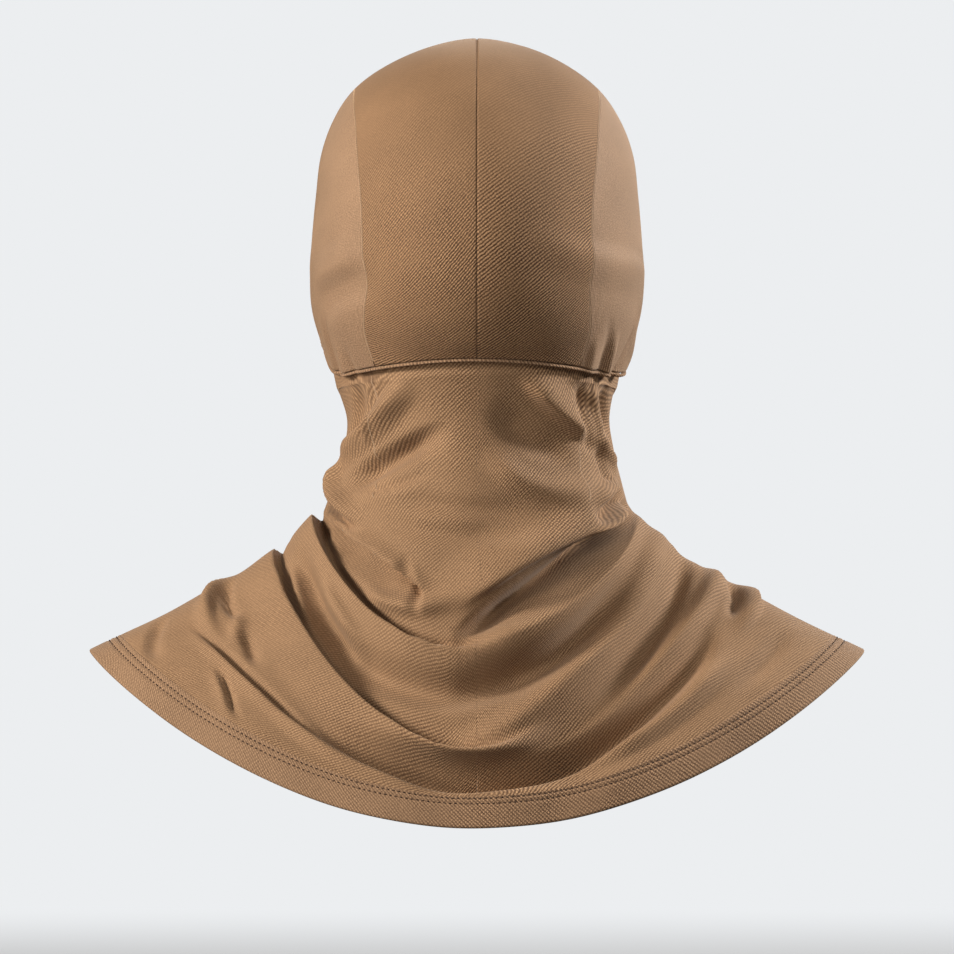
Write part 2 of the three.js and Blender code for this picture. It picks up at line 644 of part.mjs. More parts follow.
// The neck piece starts below a turned edge, which is wide over the nose and narrow where the hood
// covers it. At the back the piece starts inside the hood by the lap.
const maskShare = (turn) => within(smoothValue(maskTop, "turn", "width", foldedTurn(turn)), 0, 1);
const maskTopLevel = (turn) =>
  smoothValue(maskTop, "turn", "level", foldedTurn(turn)) - (lapDepth / napeScale) * (1 - maskShare(turn));
const maskBand = (turn) => mix(weltWidth, maskEdgeWidth, maskShare(turn));
const maskBandFoot = (turn) => levelAbove(maskTopLevel, turn, -maskBand(turn));
const neckTop = (turn) => levelAbove(maskTopLevel, turn, -maskBand(turn) - seamGap);

const upperRows = 6;
const neckRows = upperRows + neckLevels.length;
const neckColumns = 28;
const neckCrowding = 0.36; // how much closer the columns lie at the back than on average
const neckTurns = Array.from({ length: neckColumns + 1 }, (_, k) => {
  const share = k / neckColumns;
  return halfTurn * share * (1 - neckCrowding + neckCrowding * share);
});
function neckLevel(row, turn) {
  if (row === neckRows) return hemTop - seamGap / hemScale;
  if (row > upperRows) return neckLevels[row - upperRows];
  return mix(neckTop(turn), neckLevels[0], row / upperRows);
}
function neckWall(sign) {
  const placeAt = (r, s) => {
    const turn = neckTurns[Math.round(s * neckColumns)];
    const level = neckLevel(Math.round(r * neckRows), turn);
    const endTurn = seamGap / 2 / (smoothValue(rings, "level", "half", level) * degree);
    return { turn: sign * within(turn, endTurn, halfTurn - endTurn), level };
  };
  return wall(neckRows, neckColumns, placeAt, lapRise, cloth);
}
addPiece("bib_left", neckWall(1), twillKnit);
addPiece("bib_right", neckWall(-1), twillKnit);

// The mask's turned edge over the nose, with both ends under the hood's side panels. It and the hem
// have their sections at the neck piece's turns.
const otherSide = (turns) => turns.map((turn) => 2 * halfTurn - turn).reverse();
const maskEdgeTurn = 108;
const maskEnd = neckTurns.filter((turn) => turn > maskEdgeTurn);
const maskTurns = [...maskEnd, ...otherSide(maskEnd.slice(0, -1))];
const maskEdgePlace = (r, s) => {
  const turn = maskTurns[Math.round(s * (maskTurns.length - 1))];
  return { turn, level: mix(maskTopLevel(turn), maskBandFoot(turn), r) };
};
addPiece("mask_edge", wall(1, maskTurns.length - 1, maskEdgePlace, lapRise, turnedEdge), edgeKnit);

// The turned hem, one ring round the whole cape
const hemTurns = [...neckTurns, ...otherSide(neckTurns.slice(1, -1))];
const hemProud = 0.2; // how far the hem stands out from the cape
const hemPlace = (r, s) => {
  const turn = hemTurns[Math.round(s * hemTurns.length) % hemTurns.length];
  return { turn, level: mix(hemTop, hemLevel, r) };
};
addPiece("hem_band", wall(1, hemTurns.length, hemPlace, hemProud, turnedEdge, true), edgeKnit);

export default balaclava;
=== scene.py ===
# A convertible balaclava of knitted cloth as it hangs when it is worn: a close head hood, and a
# neck piece that spreads over the shoulders as a cape and goes up in front as the mask. Lengths
# are metres, +Z is up, the face looks towards -Y and the origin is inside the top of the crown.
from collections import namedtuple
from functools import partial

import bpy
import numpy as np
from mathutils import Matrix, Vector


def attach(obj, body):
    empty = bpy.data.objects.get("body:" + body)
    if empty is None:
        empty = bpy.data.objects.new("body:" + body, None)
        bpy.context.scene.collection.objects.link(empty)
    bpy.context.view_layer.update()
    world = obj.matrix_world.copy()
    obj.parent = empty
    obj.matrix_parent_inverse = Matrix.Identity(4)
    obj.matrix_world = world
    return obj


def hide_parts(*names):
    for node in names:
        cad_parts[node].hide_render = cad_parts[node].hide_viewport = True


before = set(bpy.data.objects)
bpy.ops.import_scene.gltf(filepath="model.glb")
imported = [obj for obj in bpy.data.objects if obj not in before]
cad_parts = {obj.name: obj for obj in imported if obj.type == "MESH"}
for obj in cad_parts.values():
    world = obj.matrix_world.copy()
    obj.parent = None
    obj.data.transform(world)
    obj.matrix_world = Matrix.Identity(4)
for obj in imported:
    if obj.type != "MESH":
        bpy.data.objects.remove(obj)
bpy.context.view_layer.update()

# The middle panel of the hood: two halves of twill knit that run from the brow over the top of
# the head to the nape. A seam joins them down the centre, and each edge of the cloth rolls into
# it, so that it shows as a dark groove. All of the form is described by turn, in degrees from the
# centre back, and level, which is 0 at the top of the head, 1 at the nape and 2 at the hem.
MM = 0.001
CLOTH = 1.6 * MM
SEAM_GAP = 0.3 * MM
WELT_WIDTH = 2.2 * MM
BINDING_WIDTH = 9 * MM
HEAD_HALF = 80.5 * MM
HEAD_BACK = 97.5 * MM
HEAD_FRONT = 96 * MM
NAPE_DROP = 156.6 * MM
CHIN_DROP = 200 * MM
FOLD_RISE = 13 * MM
FOLD_SPREAD = 10 * MM
FOLD_STEPS = 48
HALF_TURN = 180
NAPE_LEVEL = 1
HEM_LEVEL = 2
MIDDLE_EASE = 0.15
SEAM_ROUNDING = 1.1 * MM
SEAM_LAP = 0.4 * MM
# The step of level from which directions are worked out, and the least length to divide by
PROBE = 0.004
TINY = 1e-12

# Sections of the hood: level, then shares of the sizes above for the half width, the drop at the
# side, the reach and the drop at the back, the reach and the drop in front, and the bow, which is
# 1 where a section bends like a saddle between side and back. The neck starts at the last row.
LEVEL, HALF, SIDE_DROP, BACK, BACK_DROP, FRONT, FRONT_DROP, BOW = range(8)
HOOD_SECTIONS = [
    (0, 0, 0, 0, 0, 0, 0, 1),
    (0.11, 0.273, 0.025, 0.277, 0.023, 0.271, 0.019, 1),
    (0.22, 0.528, 0.083, 0.533, 0.083, 0.51, 0.07, 1),
    (0.33, 0.73, 0.16, 0.744, 0.188, 0.708, 0.15, 1),
    (0.44, 0.857, 0.254, 0.882, 0.319, 0.844, 0.247, 1),
    (0.55, 0.935, 0.364, 0.964, 0.466, 0.922, 0.355, 1),
    (0.66, 0.965, 0.492, 1, 0.619, 0.958, 0.465, 1),
    (0.77, 0.989, 0.632, 0.979, 0.76, 0.979, 0.585, 0.8),
    (0.86, 1, 0.728, 0.913, 0.862, 0.995, 0.7, 0.6),
    (0.93, 0.979, 0.862, 0.821, 0.939, 1, 0.83, 0.5),
    (1, 0.851, 1.06, 0.718, 1, 0.985, 1, 0.5),
]


def sections(rows, starts, sizes):
    """Sections in metres: each column of shares times its whole size, added to its start."""
    table = np.array(rows, float)
    table[:, HALF:BOW] = np.array(starts) + table[:, HALF:BOW] * np.array(sizes)
    return table


hood_rings = sections(
    HOOD_SECTIONS,
    starts=(0, 0, 0, 0, 0, 0),
    sizes=(HEAD_HALF, NAPE_DROP, HEAD_BACK, NAPE_DROP, HEAD_FRONT, CHIN_DROP),
)

# The sizes of the neck and the cape, whose sections the lower edge of the hood runs into
NECK_HALF = 63 * MM
NECK_BACK = 61 * MM
NECK_FRONT = 79 * MM
NECK_BACK_DROP = 134.4 * MM
NECK_SIDE_DROP = 65 * MM
NECK_FRONT_DROP = 70 * MM
NECK_SECTIONS = [
    (1.06, 1.045, 0.07, 1.057, 0.077, 1.165, 0.186, 0.5),
    (1.14, 1, 0.277, 1, 0.204, 1.063, 0.343, 0.5),
    (1.24, 1.032, 0.492, 1.033, 0.375, 1, 0.514, 0.5),
    (1.34, 1.111, 0.738, 1.131, 0.591, 1.025, 0.67, 0.5),
    (1.44, 1.167, 0.923, 1.213, 0.829, 1.063, 0.86, 0.5),
    (1.5, 1.206, 1, 1.246, 1, 1.114, 1, 0.5),
]
nape = hood_rings[-1]
neck_rings = sections(
    NECK_SECTIONS,
    starts=(0, nape[SIDE_DROP], 0, nape[BACK_DROP], 0, nape[FRONT_DROP]),
    sizes=(NECK_HALF, NECK_SIDE_DROP, NECK_BACK, NECK_BACK_DROP, NECK_FRONT, NECK_FRONT_DROP),
)

CAPE_HALF = 187 * MM
CAPE_BACK = 108 * MM
CAPE_FRONT = 118 * MM
CAPE_BACK_DROP = 87.6 * MM
CAPE_SIDE_DROP = 64 * MM
CAPE_FRONT_DROP = 90 * MM
CAPE_SECTIONS = [
    (1.6, 0.09, 0.141, 0.219, 0.326, 0.2, 0.189, 0.5),
    (1.7, 0.171, 0.266, 0.406, 0.607, 0.4, 0.378, 0.5),
    (1.8, 0.432, 0.5, 0.594, 0.725, 0.6, 0.589, 0.8),
    (1.9, 0.721, 0.766, 0.813, 0.803, 0.8, 0.789, 1),
    (1.94, 0.878, 0.902, 0.906, 0.837, 0.9, 0.867, 1),
    (2, 1, 1, 1, 1, 1, 1, 0.85),
]
shoulder = neck_rings[-1]
cape_rings = sections(
    CAPE_SECTIONS,
    starts=shoulder[HALF:BOW],
    sizes=(
        CAPE_HALF - shoulder[HALF],
        CAPE_SIDE_DROP,
        CAPE_BACK - shoulder[BACK],
        CAPE_BACK_DROP,
        CAPE_FRONT - shoulder[FRONT],
        CAPE_FRONT_DROP,
    ),
)

# The first section again, seen across the pole, makes the crown round there
across_pole = hood_rings[1].copy()
across_pole[[LEVEL, HALF, BACK, FRONT]] *= -1
RINGS = np.vstack([across_pole, hood_rings, neck_rings, cape_rings])


def smooth_column(table, column, at):
    """A column of a table at many keys of its first one: pieces of third degree through its rows,
    whose slope at a row is that between its two neighbours."""
    keys = table[:, 0]
    values = table[:, column]
    rows = np.arange(len(keys))
    before = np.maximum(rows - 1, 0)
    after = np.minimum(rows + 1, len(keys) - 1)
    slopes = (values[after] - values[before]) / (keys[after] - keys[before])
    k = np.clip(np.searchsorted(keys[1:], at), 0, len(keys) - 2)
    step = keys[k + 1] - keys[k]
    f = (at - keys[k]) / step
    rise = values[k + 1] - values[k]
    slope_in = slopes[k] * step
    slope_out = slopes[k + 1] * step
    third = slope_in + slope_out - 2 * rise
    return values[k] + f * (slope_in + f * (rise - slope_in - third + f * third))


def section_at(column, level):
    """A column of the sections at a level."""
    return smooth_column(RINGS, column, level)


def plain_place(turn, level):
    """The form without folds: x = half width times the sine of the turn, y = reach times its
    cosine, and z falls from the side's drop to the middle's by a share that depends on the bow."""
    sine = np.sin(np.radians(turn))
    cosine = np.cos(np.radians(turn))
    at_back = cosine >= 0
    reach = np.where(at_back, section_at(BACK, level), section_at(FRONT, level))
    middle = np.where(at_back, section_at(BACK_DROP, level), section_at(FRONT_DROP, level))
    side = section_at(SIDE_DROP, level)
    bow = section_at(BOW, level)
    whole = np.sqrt(1 + MIDDLE_EASE**2) - MIDDLE_EASE
    straight = (np.sqrt(cosine**2 + MIDDLE_EASE**2) - MIDDLE_EASE) / whole
    way = bow * cosine**2 + (1 - bow) * straight
    drop = side + (middle - side) * way
    return np.stack([section_at(HALF, level) * sine, reach * cosine, CLOTH - drop], axis=-1)


def flat(turn, level):
    """The flat map of the form: a place is its level in the direction of its turn."""
    return np.stack([level * np.sin(np.radians(turn)), level * np.cos(np.radians(turn))], axis=-1)


def turn_of(place):
    """The turn of a place in the flat map: the angle at which it lies, in degrees from the centre back."""
    return np.degrees(np.arctan2(place[..., 0], place[..., 1]))


def level_of(place):
    """The level of a place in the flat map: its distance from the top of the head."""
    return np.hypot(place[..., 0], place[..., 1])


def unit(vectors):
    """Vectors divided by their lengths."""
    return vectors / np.maximum(np.linalg.norm(vectors, axis=-1, keepdims=True), TINY)


def plain_at(place):
    """The plain form at a place of the flat map."""
    return plain_place(turn_of(place), level_of(place))


def outwards(turn, level):
    """The direction out of the plain form: the cross product of two short steps of the flat map."""
    place = flat(turn, level)
    across = np.array([PROBE, 0])
    along = np.array([0, PROBE])
    step_across = plain_at(place + across) - plain_at(place - across)
    step_along = plain_at(place + along) - plain_at(place - along)
    return unit(np.cross(step_across, step_along))


def ease(x):
    """3x² - 2x³ between 0 and 1, and 0 or 1 beyond them."""
    f = np.clip(x, 0, 1)
    return f * f * (3 - 2 * f)


# A fold's line bends from its start to its end, pulled towards a third place, and each place is a
# turn and a level. Below is the side under a line that runs to the right, seen from outside. The
# heights and widths of both sides are shares of FOLD_RISE and FOLD_SPREAD, the fades are shares of
# the line, and the lean is the share of its height by which a fold is pushed to the side below.
Fold = namedtuple(
    "Fold", "start pull end above below above_width below_width fade_in fade_out lean", defaults=(0,)
)
LIP_WIDTH = 1.8 * MM


def fold_push(folds, turn, level):
    """What the folds add to the plain form: for each one the nearest point of its line gives the
    distance x, as a share of the fold's width on that side. The height is that side's height times
    (1-x)²(1+2x). Where the sides differ, one runs into the other over a lip. The height dies away
    at both ends of the line, and leans across it."""
    shape = turn.shape
    points = plain_place(turn, level).reshape(-1, 3)
    normals = outwards(turn, level).reshape(-1, 3)
    push = np.zeros_like(points)
    s = np.linspace(0, 1, FOLD_STEPS + 1)
    for fold in folds:
        weights = np.stack([(1 - s) ** 2, 2 * s * (1 - s), s**2], axis=1)
        line = plain_place(*(weights @ np.array([fold.start, fold.pull, fold.end], float)).T)
        reach = max(fold.above_width, fold.below_width) * FOLD_SPREAD
        near = np.all((points > line.min(axis=0) - reach) & (points < line.max(axis=0) + reach), axis=1)
        near = np.flatnonzero(near)
        closest = np.full(len(near), np.inf)
        along = np.zeros(len(near))
        across = np.zeros((len(near), 3))
        side = np.zeros(len(near))
        for k in range(FOLD_STEPS):
            stretch = line[k + 1] - line[k]
            offset = points[near] - line[k]
            f = np.clip(offset @ stretch / (stretch @ stretch), 0, 1)
            offset -= f[:, None] * stretch
            distance = np.linalg.norm(offset, axis=1)
            closer = distance < closest
            outer = np.cross(stretch, normals[near[closer]])
            closest[closer] = distance[closer]
            along[closer] = (k + f[closer]) / FOLD_STEPS
            across[closer] = outer
            side[closer] = np.sign(np.einsum("ij,ij->i", outer, offset[closer]))
        width = np.where(side >= 0, fold.below_width, fold.above_width) * FOLD_SPREAD
        x = np.minimum(closest / width, 1)
        if fold.above == fold.below:
            height = np.full(len(near), float(fold.above))
        else:
            height = fold.above + (fold.below - fold.above) * ease(0.5 + side * closest / (2 * LIP_WIDTH))
        height *= (1 - x) ** 2 * (1 + 2 * x) * FOLD_RISE
        height *= ease(along / fold.fade_in) * ease((1 - along) / fold.fade_out)
        push[near] += height[:, None] * (normals[near] + fold.lean * unit(across))
    return push.reshape(*shape, 3)


WAVES = 9


def undulation(points, wavelength, seed):
    """The mean of WAVES plane waves of random directions and phases, about -0.5 to 0.5."""
    random = np.random.default_rng(seed)
    directions = unit(random.normal(size=(WAVES, 3)))
    phases = random.uniform(0, 2 * np.pi, WAVES)
    return np.sin(points @ directions.T * (2 * np.pi / wavelength) + phases).mean(axis=-1)


def crowded(count, strength):
    """Steps from 0 to 1 that lie closer together at both ends: t - strength·sin(2πt)/2π."""
    t = np.linspace(0, 1, count + 1)
    return t - strength * np.sin(2 * np.pi * t) / (2 * np.pi)


# Small wrinkles where the hood lies over the back of the head and the ears
HOOD_WRINKLES = [
    Fold((40, 0.72), (57, 0.8), (80, 0.9), 0.2, 0.2, 1.0, 1.5, 0.4, 0.3),
    Fold((30, 0.78), (50, 0.85), (76, 0.95), -0.16, -0.16, 1.0, 1.5, 0.4, 0.3),
    Fold((-16, 0.66), (-42, 0.76), (-96, 0.89), 0.16, 0.16, 1.0, 1.6, 0.4, 0.3),
    Fold((-50, 0.9), (-56, 0.94), (-60, 1.01), -0.12, -0.12, 0.5, 0.5, 0.8, 0.1),
    Fold((-46, 0.93), (-50, 0.96), (-52, 1.01), 0.1, 0.1, 0.6, 0.5, 0.6, 0.1),
    Fold((-58, 0.93), (-62, 0.96), (-65, 1.01), 0.12, 0.12, 0.45, 0.45, 0.6, 0.1),
    Fold((-88, 0.9), (-76, 0.95), (-70, 1.01), -0.22, -0.22, 0.7, 0.6, 0.5, 0.1),
    Fold((-92, 0.94), (-84, 0.97), (-76, 1.01), 0.16, 0.16, 0.6, 0.6, 0.5, 0.1),
    Fold((57, 0.955), (60, 0.98), (59, 1.01), -0.1, -0.1, 0.45, 0.45, 0.6, 0.1),
    Fold((62, 0.945), (66, 0.975), (67, 1.01), 0.1, 0.1, 0.5, 0.5, 0.6, 0.1),
    Fold((66, 0.91), (73, 0.95), (77, 1.0), -0.18, -0.18, 0.6, 0.55, 0.6, 0.1),
]
HOOD_DRIFT = 0.9 * MM
HOOD_WAVE = 62 * MM
HOOD_SEED = 3


def hood_place(turn, level):
    """The outside of the hood: the plain form, its wrinkles and a slight unevenness."""
    plain = plain_place(turn, level)
    uneven = HOOD_DRIFT * undulation(plain, HOOD_WAVE, HOOD_SEED)
    return plain + fold_push(HOOD_WRINKLES, turn, level) + outwards(turn, level) * uneven[..., None]


# The hood's edge by turn: its level, and the width of the turned cloth along it, as a share of the
# way from the welt's to the binding's
HOOD_EDGE = np.array([
    (0, 1, 0),
    (60, 1, 0),
    (78, 0.992, 0),
    (90, 0.978, 0),
    (102, 0.952, 0.5),
    (114, 0.91, 1),
    (126, 0.84, 1),
    (138, 0.745, 1),
    (150, 0.665, 1),
    (164, 0.612, 1),
    (180, 0.6, 1),
])


def folded_turn(turn):
    """A turn either way round as one from 0 at the centre back to 180 in front."""
    wrapped = np.mod(turn, 2 * HALF_TURN)
    return np.where(wrapped > HALF_TURN, 2 * HALF_TURN - wrapped, wrapped)


def level_above(edge_level, turn, distance):
    """The level at a real distance above an edge, square to it. The edge is a function that gives
    a level for each turn."""
    level = edge_level(turn)
    turn_step = np.degrees(PROBE)
    here = plain_place(turn, level)
    edge_step = unit(plain_place(turn + turn_step, edge_level(turn + turn_step)) - here)
    up_step = plain_place(turn, level - PROBE) - here
    square = up_step - edge_step * np.sum(up_step * edge_step, axis=-1, keepdims=True)
    return level - distance / np.linalg.norm(square, axis=-1) * PROBE


def wide_share(table, turn):
    """How much of its full width an edge has at a turn: 0 along the nape, 1 round the face."""
    return np.clip(smooth_column(table, 2, folded_turn(turn)), 0, 1)


def band_width(table, widest, turn):
    """The width of a turned edge, between the welt's and its widest."""
    return WELT_WIDTH + (widest - WELT_WIDTH) * wide_share(table, turn)


def hood_edge_level(turn):
    """The level of the hood's edge."""
    return smooth_column(HOOD_EDGE, 1, folded_turn(turn))


def band_line(turn, inset=0.0):
    """The level of a line in the turned edge of the hood, at an inset from its upper rim."""
    return level_above(hood_edge_level, turn, band_width(HOOD_EDGE, BINDING_WIDTH, turn) - inset)


def panel_edge(turn):
    """The level at which the panels of the hood end: a lap below the turned edge's upper rim."""
    return band_line(turn, SEAM_LAP)


# The line of each side seam: place along it, turn, and level as a share of the panels' edge
SIDE_SEAM = np.array([
    (0, 137, 1),
    (0.12, 131, 0.72),
    (0.26, 113, 0.43),
    (0.4, 84, 0.34),
    (0.52, 61, 0.42),
    (0.64, 49, 0.555),
    (0.76, 44.5, 0.7),
    (0.88, 42, 0.86),
    (1, 45, 1),
])


def middle_of_hood(s):
    """The centre line from the brow at s = 0 over the top to the nape at s = 1."""
    front = -panel_edge(np.array(float(HALF_TURN)))
    back = panel_edge(np.array(0.0))
    return np.stack([np.zeros_like(s), front + (back - front) * s], axis=-1)


def seam_of_hood(s):
    """The side seam from the brow at s = 0 over the temple to the nape at s = 1."""
    turn = smooth_column(SIDE_SEAM, 1, s)
    return flat(turn, smooth_column(SIDE_SEAM, 2, s) * panel_edge(turn))


def line_over_head(line, s):
    """A line over the head, and the turns of its two ends, which lie on the panels' edge."""
    places = line(s)
    ends = turn_of(places[[0, -1]])
    places[[0, -1]] = flat(ends, panel_edge(ends))
    return places, ends


def edge_between(start, end, r):
    """The panels' edge between two turns."""
    turn = start + (end - start) * r
    return flat(turn, panel_edge(turn))


def patch(left, right, start, end, s, r):
    """A patch between four lines: the mix of two, plus the mix of the others, less the corners."""
    s = s[:, None, None]
    r = r[None, :, None]
    rows = (1 - r) * left[:, None] + r * right[:, None]
    columns = (1 - s) * start[None] + s * end[None]
    corners = (1 - s) * ((1 - r) * start[0] + r * start[-1]) + s * ((1 - r) * end[0] + r * end[-1])
    return rows + columns - corners


def running_sum(steps, axis):
    """The sum of all steps up to each place along one axis, from 0."""
    start = np.zeros_like(np.take(steps, [0], axis=axis))
    return np.concatenate([start, np.cumsum(steps, axis=axis)], axis=axis)


def steps_along(points, axis):
    """Running length along one axis of a grid of points."""
    return running_sum(np.linalg.norm(np.diff(points, axis=axis), axis=-1), axis)


def flat_pattern(plain, normals, heading):
    """The cloth laid flat, in metres, from the form without folds: the first column lies straight
    down, and each row sets out square to it and turns as much as it does within the surface. The
    heading is 1 where the columns go to the right and -1 where they go to the left."""
    tangents = unit(np.diff(plain, axis=1))
    bend = np.sum(np.cross(tangents[:, :-1], tangents[:, 1:]) * normals[:, 1:-1], axis=-1)
    turned = running_sum(bend, 1)
    steps = np.linalg.norm(np.diff(plain, axis=1), axis=-1) * heading
    across = running_sum(steps * np.cos(turned), 1)
    rise = running_sum(steps * np.sin(turned), 1)
    return np.stack([across, rise - steps_along(plain, 0)[:, :1]], axis=-1)


def fan_pattern(plain, heading, fan):
    """The cloth laid flat as a fan, in metres, from the form without folds: the first column lies
    straight down, the rows are arcs round one centre, and each place lies as far along its arc as
    along its row, both as shares of the whole. The fan is the angle of the arcs in radians."""
    down = steps_along(plain, 0)[:, :1]
    across = steps_along(plain, 1)
    angle = fan * across / across[:, -1:]
    radius = across[:, -1].mean() / fan + down - down.mean()
    return np.stack([heading * radius * np.sin(angle), -radius * np.cos(angle)], axis=-1)


def evened(values, reach, axis):
    """Values of a grid, each the mean of itself and of as many neighbours as the reach on both
    sides along one axis."""
    padding = [(0, 0)] * values.ndim
    padding[axis] = (reach, reach)
    padded = np.pad(values, padding, mode="edge")
    return np.lib.stride_tricks.sliding_window_view(padded, 2 * reach + 1, axis=axis).mean(axis=-1)


# How a pattern is fitted, first to the form without folds and then to the worn cloth: the stride of
# the grid, the rounds, and the shares that a round takes away of too long a step and adds to too
# short a one. Below them, over how many neighbours on each side the changes are evened.
COARSE_FITTING = ((16, 900, 0.1, 0.01), (8, 120, 0.1, 0.01), (4, 120, 0.1, 0.01))
FINE_FITTING = ((2, 120, 0.06, 0.015), (1, 120, 0.03, 0.015))
ARC_EVENING = 24
COARSE_EVENING = 8
FINE_EVENING = 2
STEP_PAIRS = (
    (np.s_[:-1, :], np.s_[1:, :]),
    (np.s_[:, :-1], np.s_[:, 1:]),
    (np.s_[:-1, :-1], np.s_[1:, 1:]),
    (np.s_[1:, :-1], np.s_[:-1, 1:]),
)


def spread(count, stride):
    """Weights that carry values at every stride-th place of a row to all its places, in straight
    lines between them."""
    places = np.arange(count)
    known = places[::stride]
    return np.stack([np.interp(places, known, row) for row in np.eye(len(known))], axis=1)


def fitted(pattern, outside, fitting, evening):
    """A flat pattern that fits its surface better. Round after round, each step of a grid and each
    diagonal moves its two ends towards their real distance, on coarse grids first and then on
    finer ones. The first column keeps its place. What this changes is evened twice on both axes."""
    first = pattern
    for stride, rounds, shortening, lengthening in fitting:
        flat_grid = pattern[::stride, ::stride]
        worn = outside[::stride, ::stride]
        lengths = [np.linalg.norm(worn[end] - worn[start], axis=-1) for start, end in STEP_PAIRS]
        moved = flat_grid.copy()
        for _ in range(rounds):
            move = np.zeros_like(moved)
            for (start, end), length in zip(STEP_PAIRS, lengths):
                step = moved[end] - moved[start]
                excess = 1 - length / np.maximum(np.linalg.norm(step, axis=-1), TINY)
                pull = step * (excess * np.where(excess < 0, lengthening, shortening))[..., None]
                move[start] += pull
                move[end] -= pull
            move[:, 0] = 0
            moved += move
        weights = (spread(pattern.shape[0], stride), moved - flat_grid, spread(pattern.shape[1], stride))
        pattern = pattern + np.einsum("ia,abk,jb->ijk", *weights, optimize=True)
    change = pattern - first
    for axis in (0, 1, 0, 1):
        change = evened(change, evening, axis)
    change[:, 0] = 0
    return first + change


def grid_faces(rows, columns, across):
    """Quads between rows and columns of a grid whose rows hold `across` places."""
    i, j = np.meshgrid(np.arange(rows), np.arange(columns), indexing="ij")
    here = i * across + j
    right = i * across + (j + 1) % across
    return np.stack([here, right, right + across, here + across], axis=-1).reshape(-1, 4)


def rim_faces(first, second, shift):
    """Quads that join the rim of the outer side to that of the inner side."""
    return np.stack([second, first, first + shift, second + shift], axis=-1)


def make_mesh(name, points, faces, uv, material):
    """A smooth mesh object from arrays of points, faces of equal corner count and a uv for each
    point."""
    mesh = bpy.data.meshes.new(name)
    corners = faces.shape[1]
    mesh.vertices.add(len(points))
    mesh.vertices.foreach_set("co", points.astype(np.float32).ravel())
    mesh.loops.add(faces.size)
    mesh.loops.foreach_set("vertex_index", faces.astype(np.int32).ravel())
    mesh.polygons.add(len(faces))
    mesh.polygons.foreach_set("loop_start", np.arange(0, faces.size, corners, dtype=np.int32))
    mesh.update(calc_edges=True)
    mesh.uv_layers.new(name="UVMap").data.foreach_set("uv", uv[faces.ravel()].astype(np.float32).ravel())
    mesh.polygons.foreach_set("use_smooth", np.ones(len(faces), dtype=bool))
    mesh.materials.append(material)
    mesh.validate()
    piece = bpy.data.objects.new(name, mesh)
    bpy.context.scene.collection.objects.link(piece)
    return piece


LEAST_EDGE = 0.03 * MM


def from_rim(distance, rounding):
    """The share of a rim's rounding that a distance from the rim is, 1 where the rim is cut square."""
    return np.minimum(distance / rounding, 1) if rounding else np.ones_like(distance)


def cloth_wall(name, outside, plain_normals, thickness, roundings, material, pattern, closes=False):
    """A wall of cloth over a grid of places on its outside. Both sides are offset from the middle
    of the wall by half its thickness, which falls to nothing along a quarter circle at each rim:
    the top, the foot and both sides have their own rounding, 0 where the cloth is cut square. The
    faces are turned round where the volume between them comes out as less than nothing."""
    down = np.gradient(outside, axis=0)
    if closes:
        across = np.roll(outside, -1, axis=1) - np.roll(outside, 1, axis=1)
    else:
        across = np.gradient(outside, axis=1)
    normals = unit(np.cross(down, across))
    normals *= np.sign(np.sum(normals * plain_normals, axis=(0, 1, 2)))
    inwards = unit(normals + plain_normals)
    v = steps_along(outside, 0)
    u = steps_along(outside, 1)
    top, foot, sides = roundings
    share = np.minimum(from_rim(v, top), from_rim(v[-1:] - v, foot))
    if not closes:
        share = np.minimum(share, np.minimum(from_rim(u, sides), from_rim(u[:, -1:] - u, sides)))
    half = np.maximum(thickness / 2 * np.sqrt(1 - (1 - share) ** 2), LEAST_EDGE)[..., None]
    middle = outside - normals * thickness / 2
    outer = middle + normals * half
    inner = middle - inwards * half
    rows, places = outside.shape[0] - 1, outside.shape[1]
    columns = places if closes else places - 1
    shift = outside.shape[0] * places
    at = np.arange(shift).reshape(rows + 1, places)
    outer_faces = grid_faces(rows, columns, places)
    ring = np.arange(columns)
    following = (ring + 1) % places
    faces = [
        outer_faces,
        outer_faces[:, ::-1] + shift,
        rim_faces(at[0, ring], at[0, following], shift),
        rim_faces(at[rows, following], at[rows, ring], shift),
    ]
    if not closes:
        faces.append(rim_faces(at[1:, 0], at[:-1, 0], shift))
        faces.append(rim_faces(at[:-1, -1], at[1:, -1], shift))
    faces = np.concatenate(faces)
    points = np.concatenate([outer.reshape(-1, 3), inner.reshape(-1, 3)])
    a, b, c, d = (points[faces[:, k]] for k in range(4))
    volume = np.sum(a * np.cross(b, c)) + np.sum(a * np.cross(c, d))
    if volume < 0:
        faces = faces[:, ::-1]
    uv = pattern.reshape(-1, 2)
    return make_mesh(name, points, faces, np.concatenate([uv, uv]), material)


def new_material(name):
    """A material with its tree and its surface shader."""
    material = bpy.data.materials.new(name)
    material.use_nodes = True
    tree = material.node_tree
    return material, tree, tree.nodes["Principled BSDF"]


def feed(tree, node, inputs):
    """Gives inputs of a node, by name or number, their values: a socket is linked to its input,
    and anything else is set."""
    for name, value in inputs.items():
        if isinstance(value, bpy.types.NodeSocket):
            tree.links.new(value, node.inputs[name])
        else:
            node.inputs[name].default_value = value


def add_node(tree, kind, inputs, **settings):
    """A new node with its settings and inputs."""
    node = tree.nodes.new(kind)
    for name, value in settings.items():
        setattr(node, name, value)
    feed(tree, node, inputs)
    return node


def math_node(tree, operation, *inputs):
    """The result of one operation on numbers and sockets."""
    return add_node(tree, "ShaderNodeMath", dict(enumerate(inputs)), operation=operation).outputs[0]


def noise_node(tree, vector, scale, detail, output="Fac"):
    """Noise from 0 to 1 at a number of bumps to the metre."""
    inputs = {"Vector": vector, "Scale": scale, "Detail": detail}
    return add_node(tree, "ShaderNodeTexNoise", inputs).outputs[output]


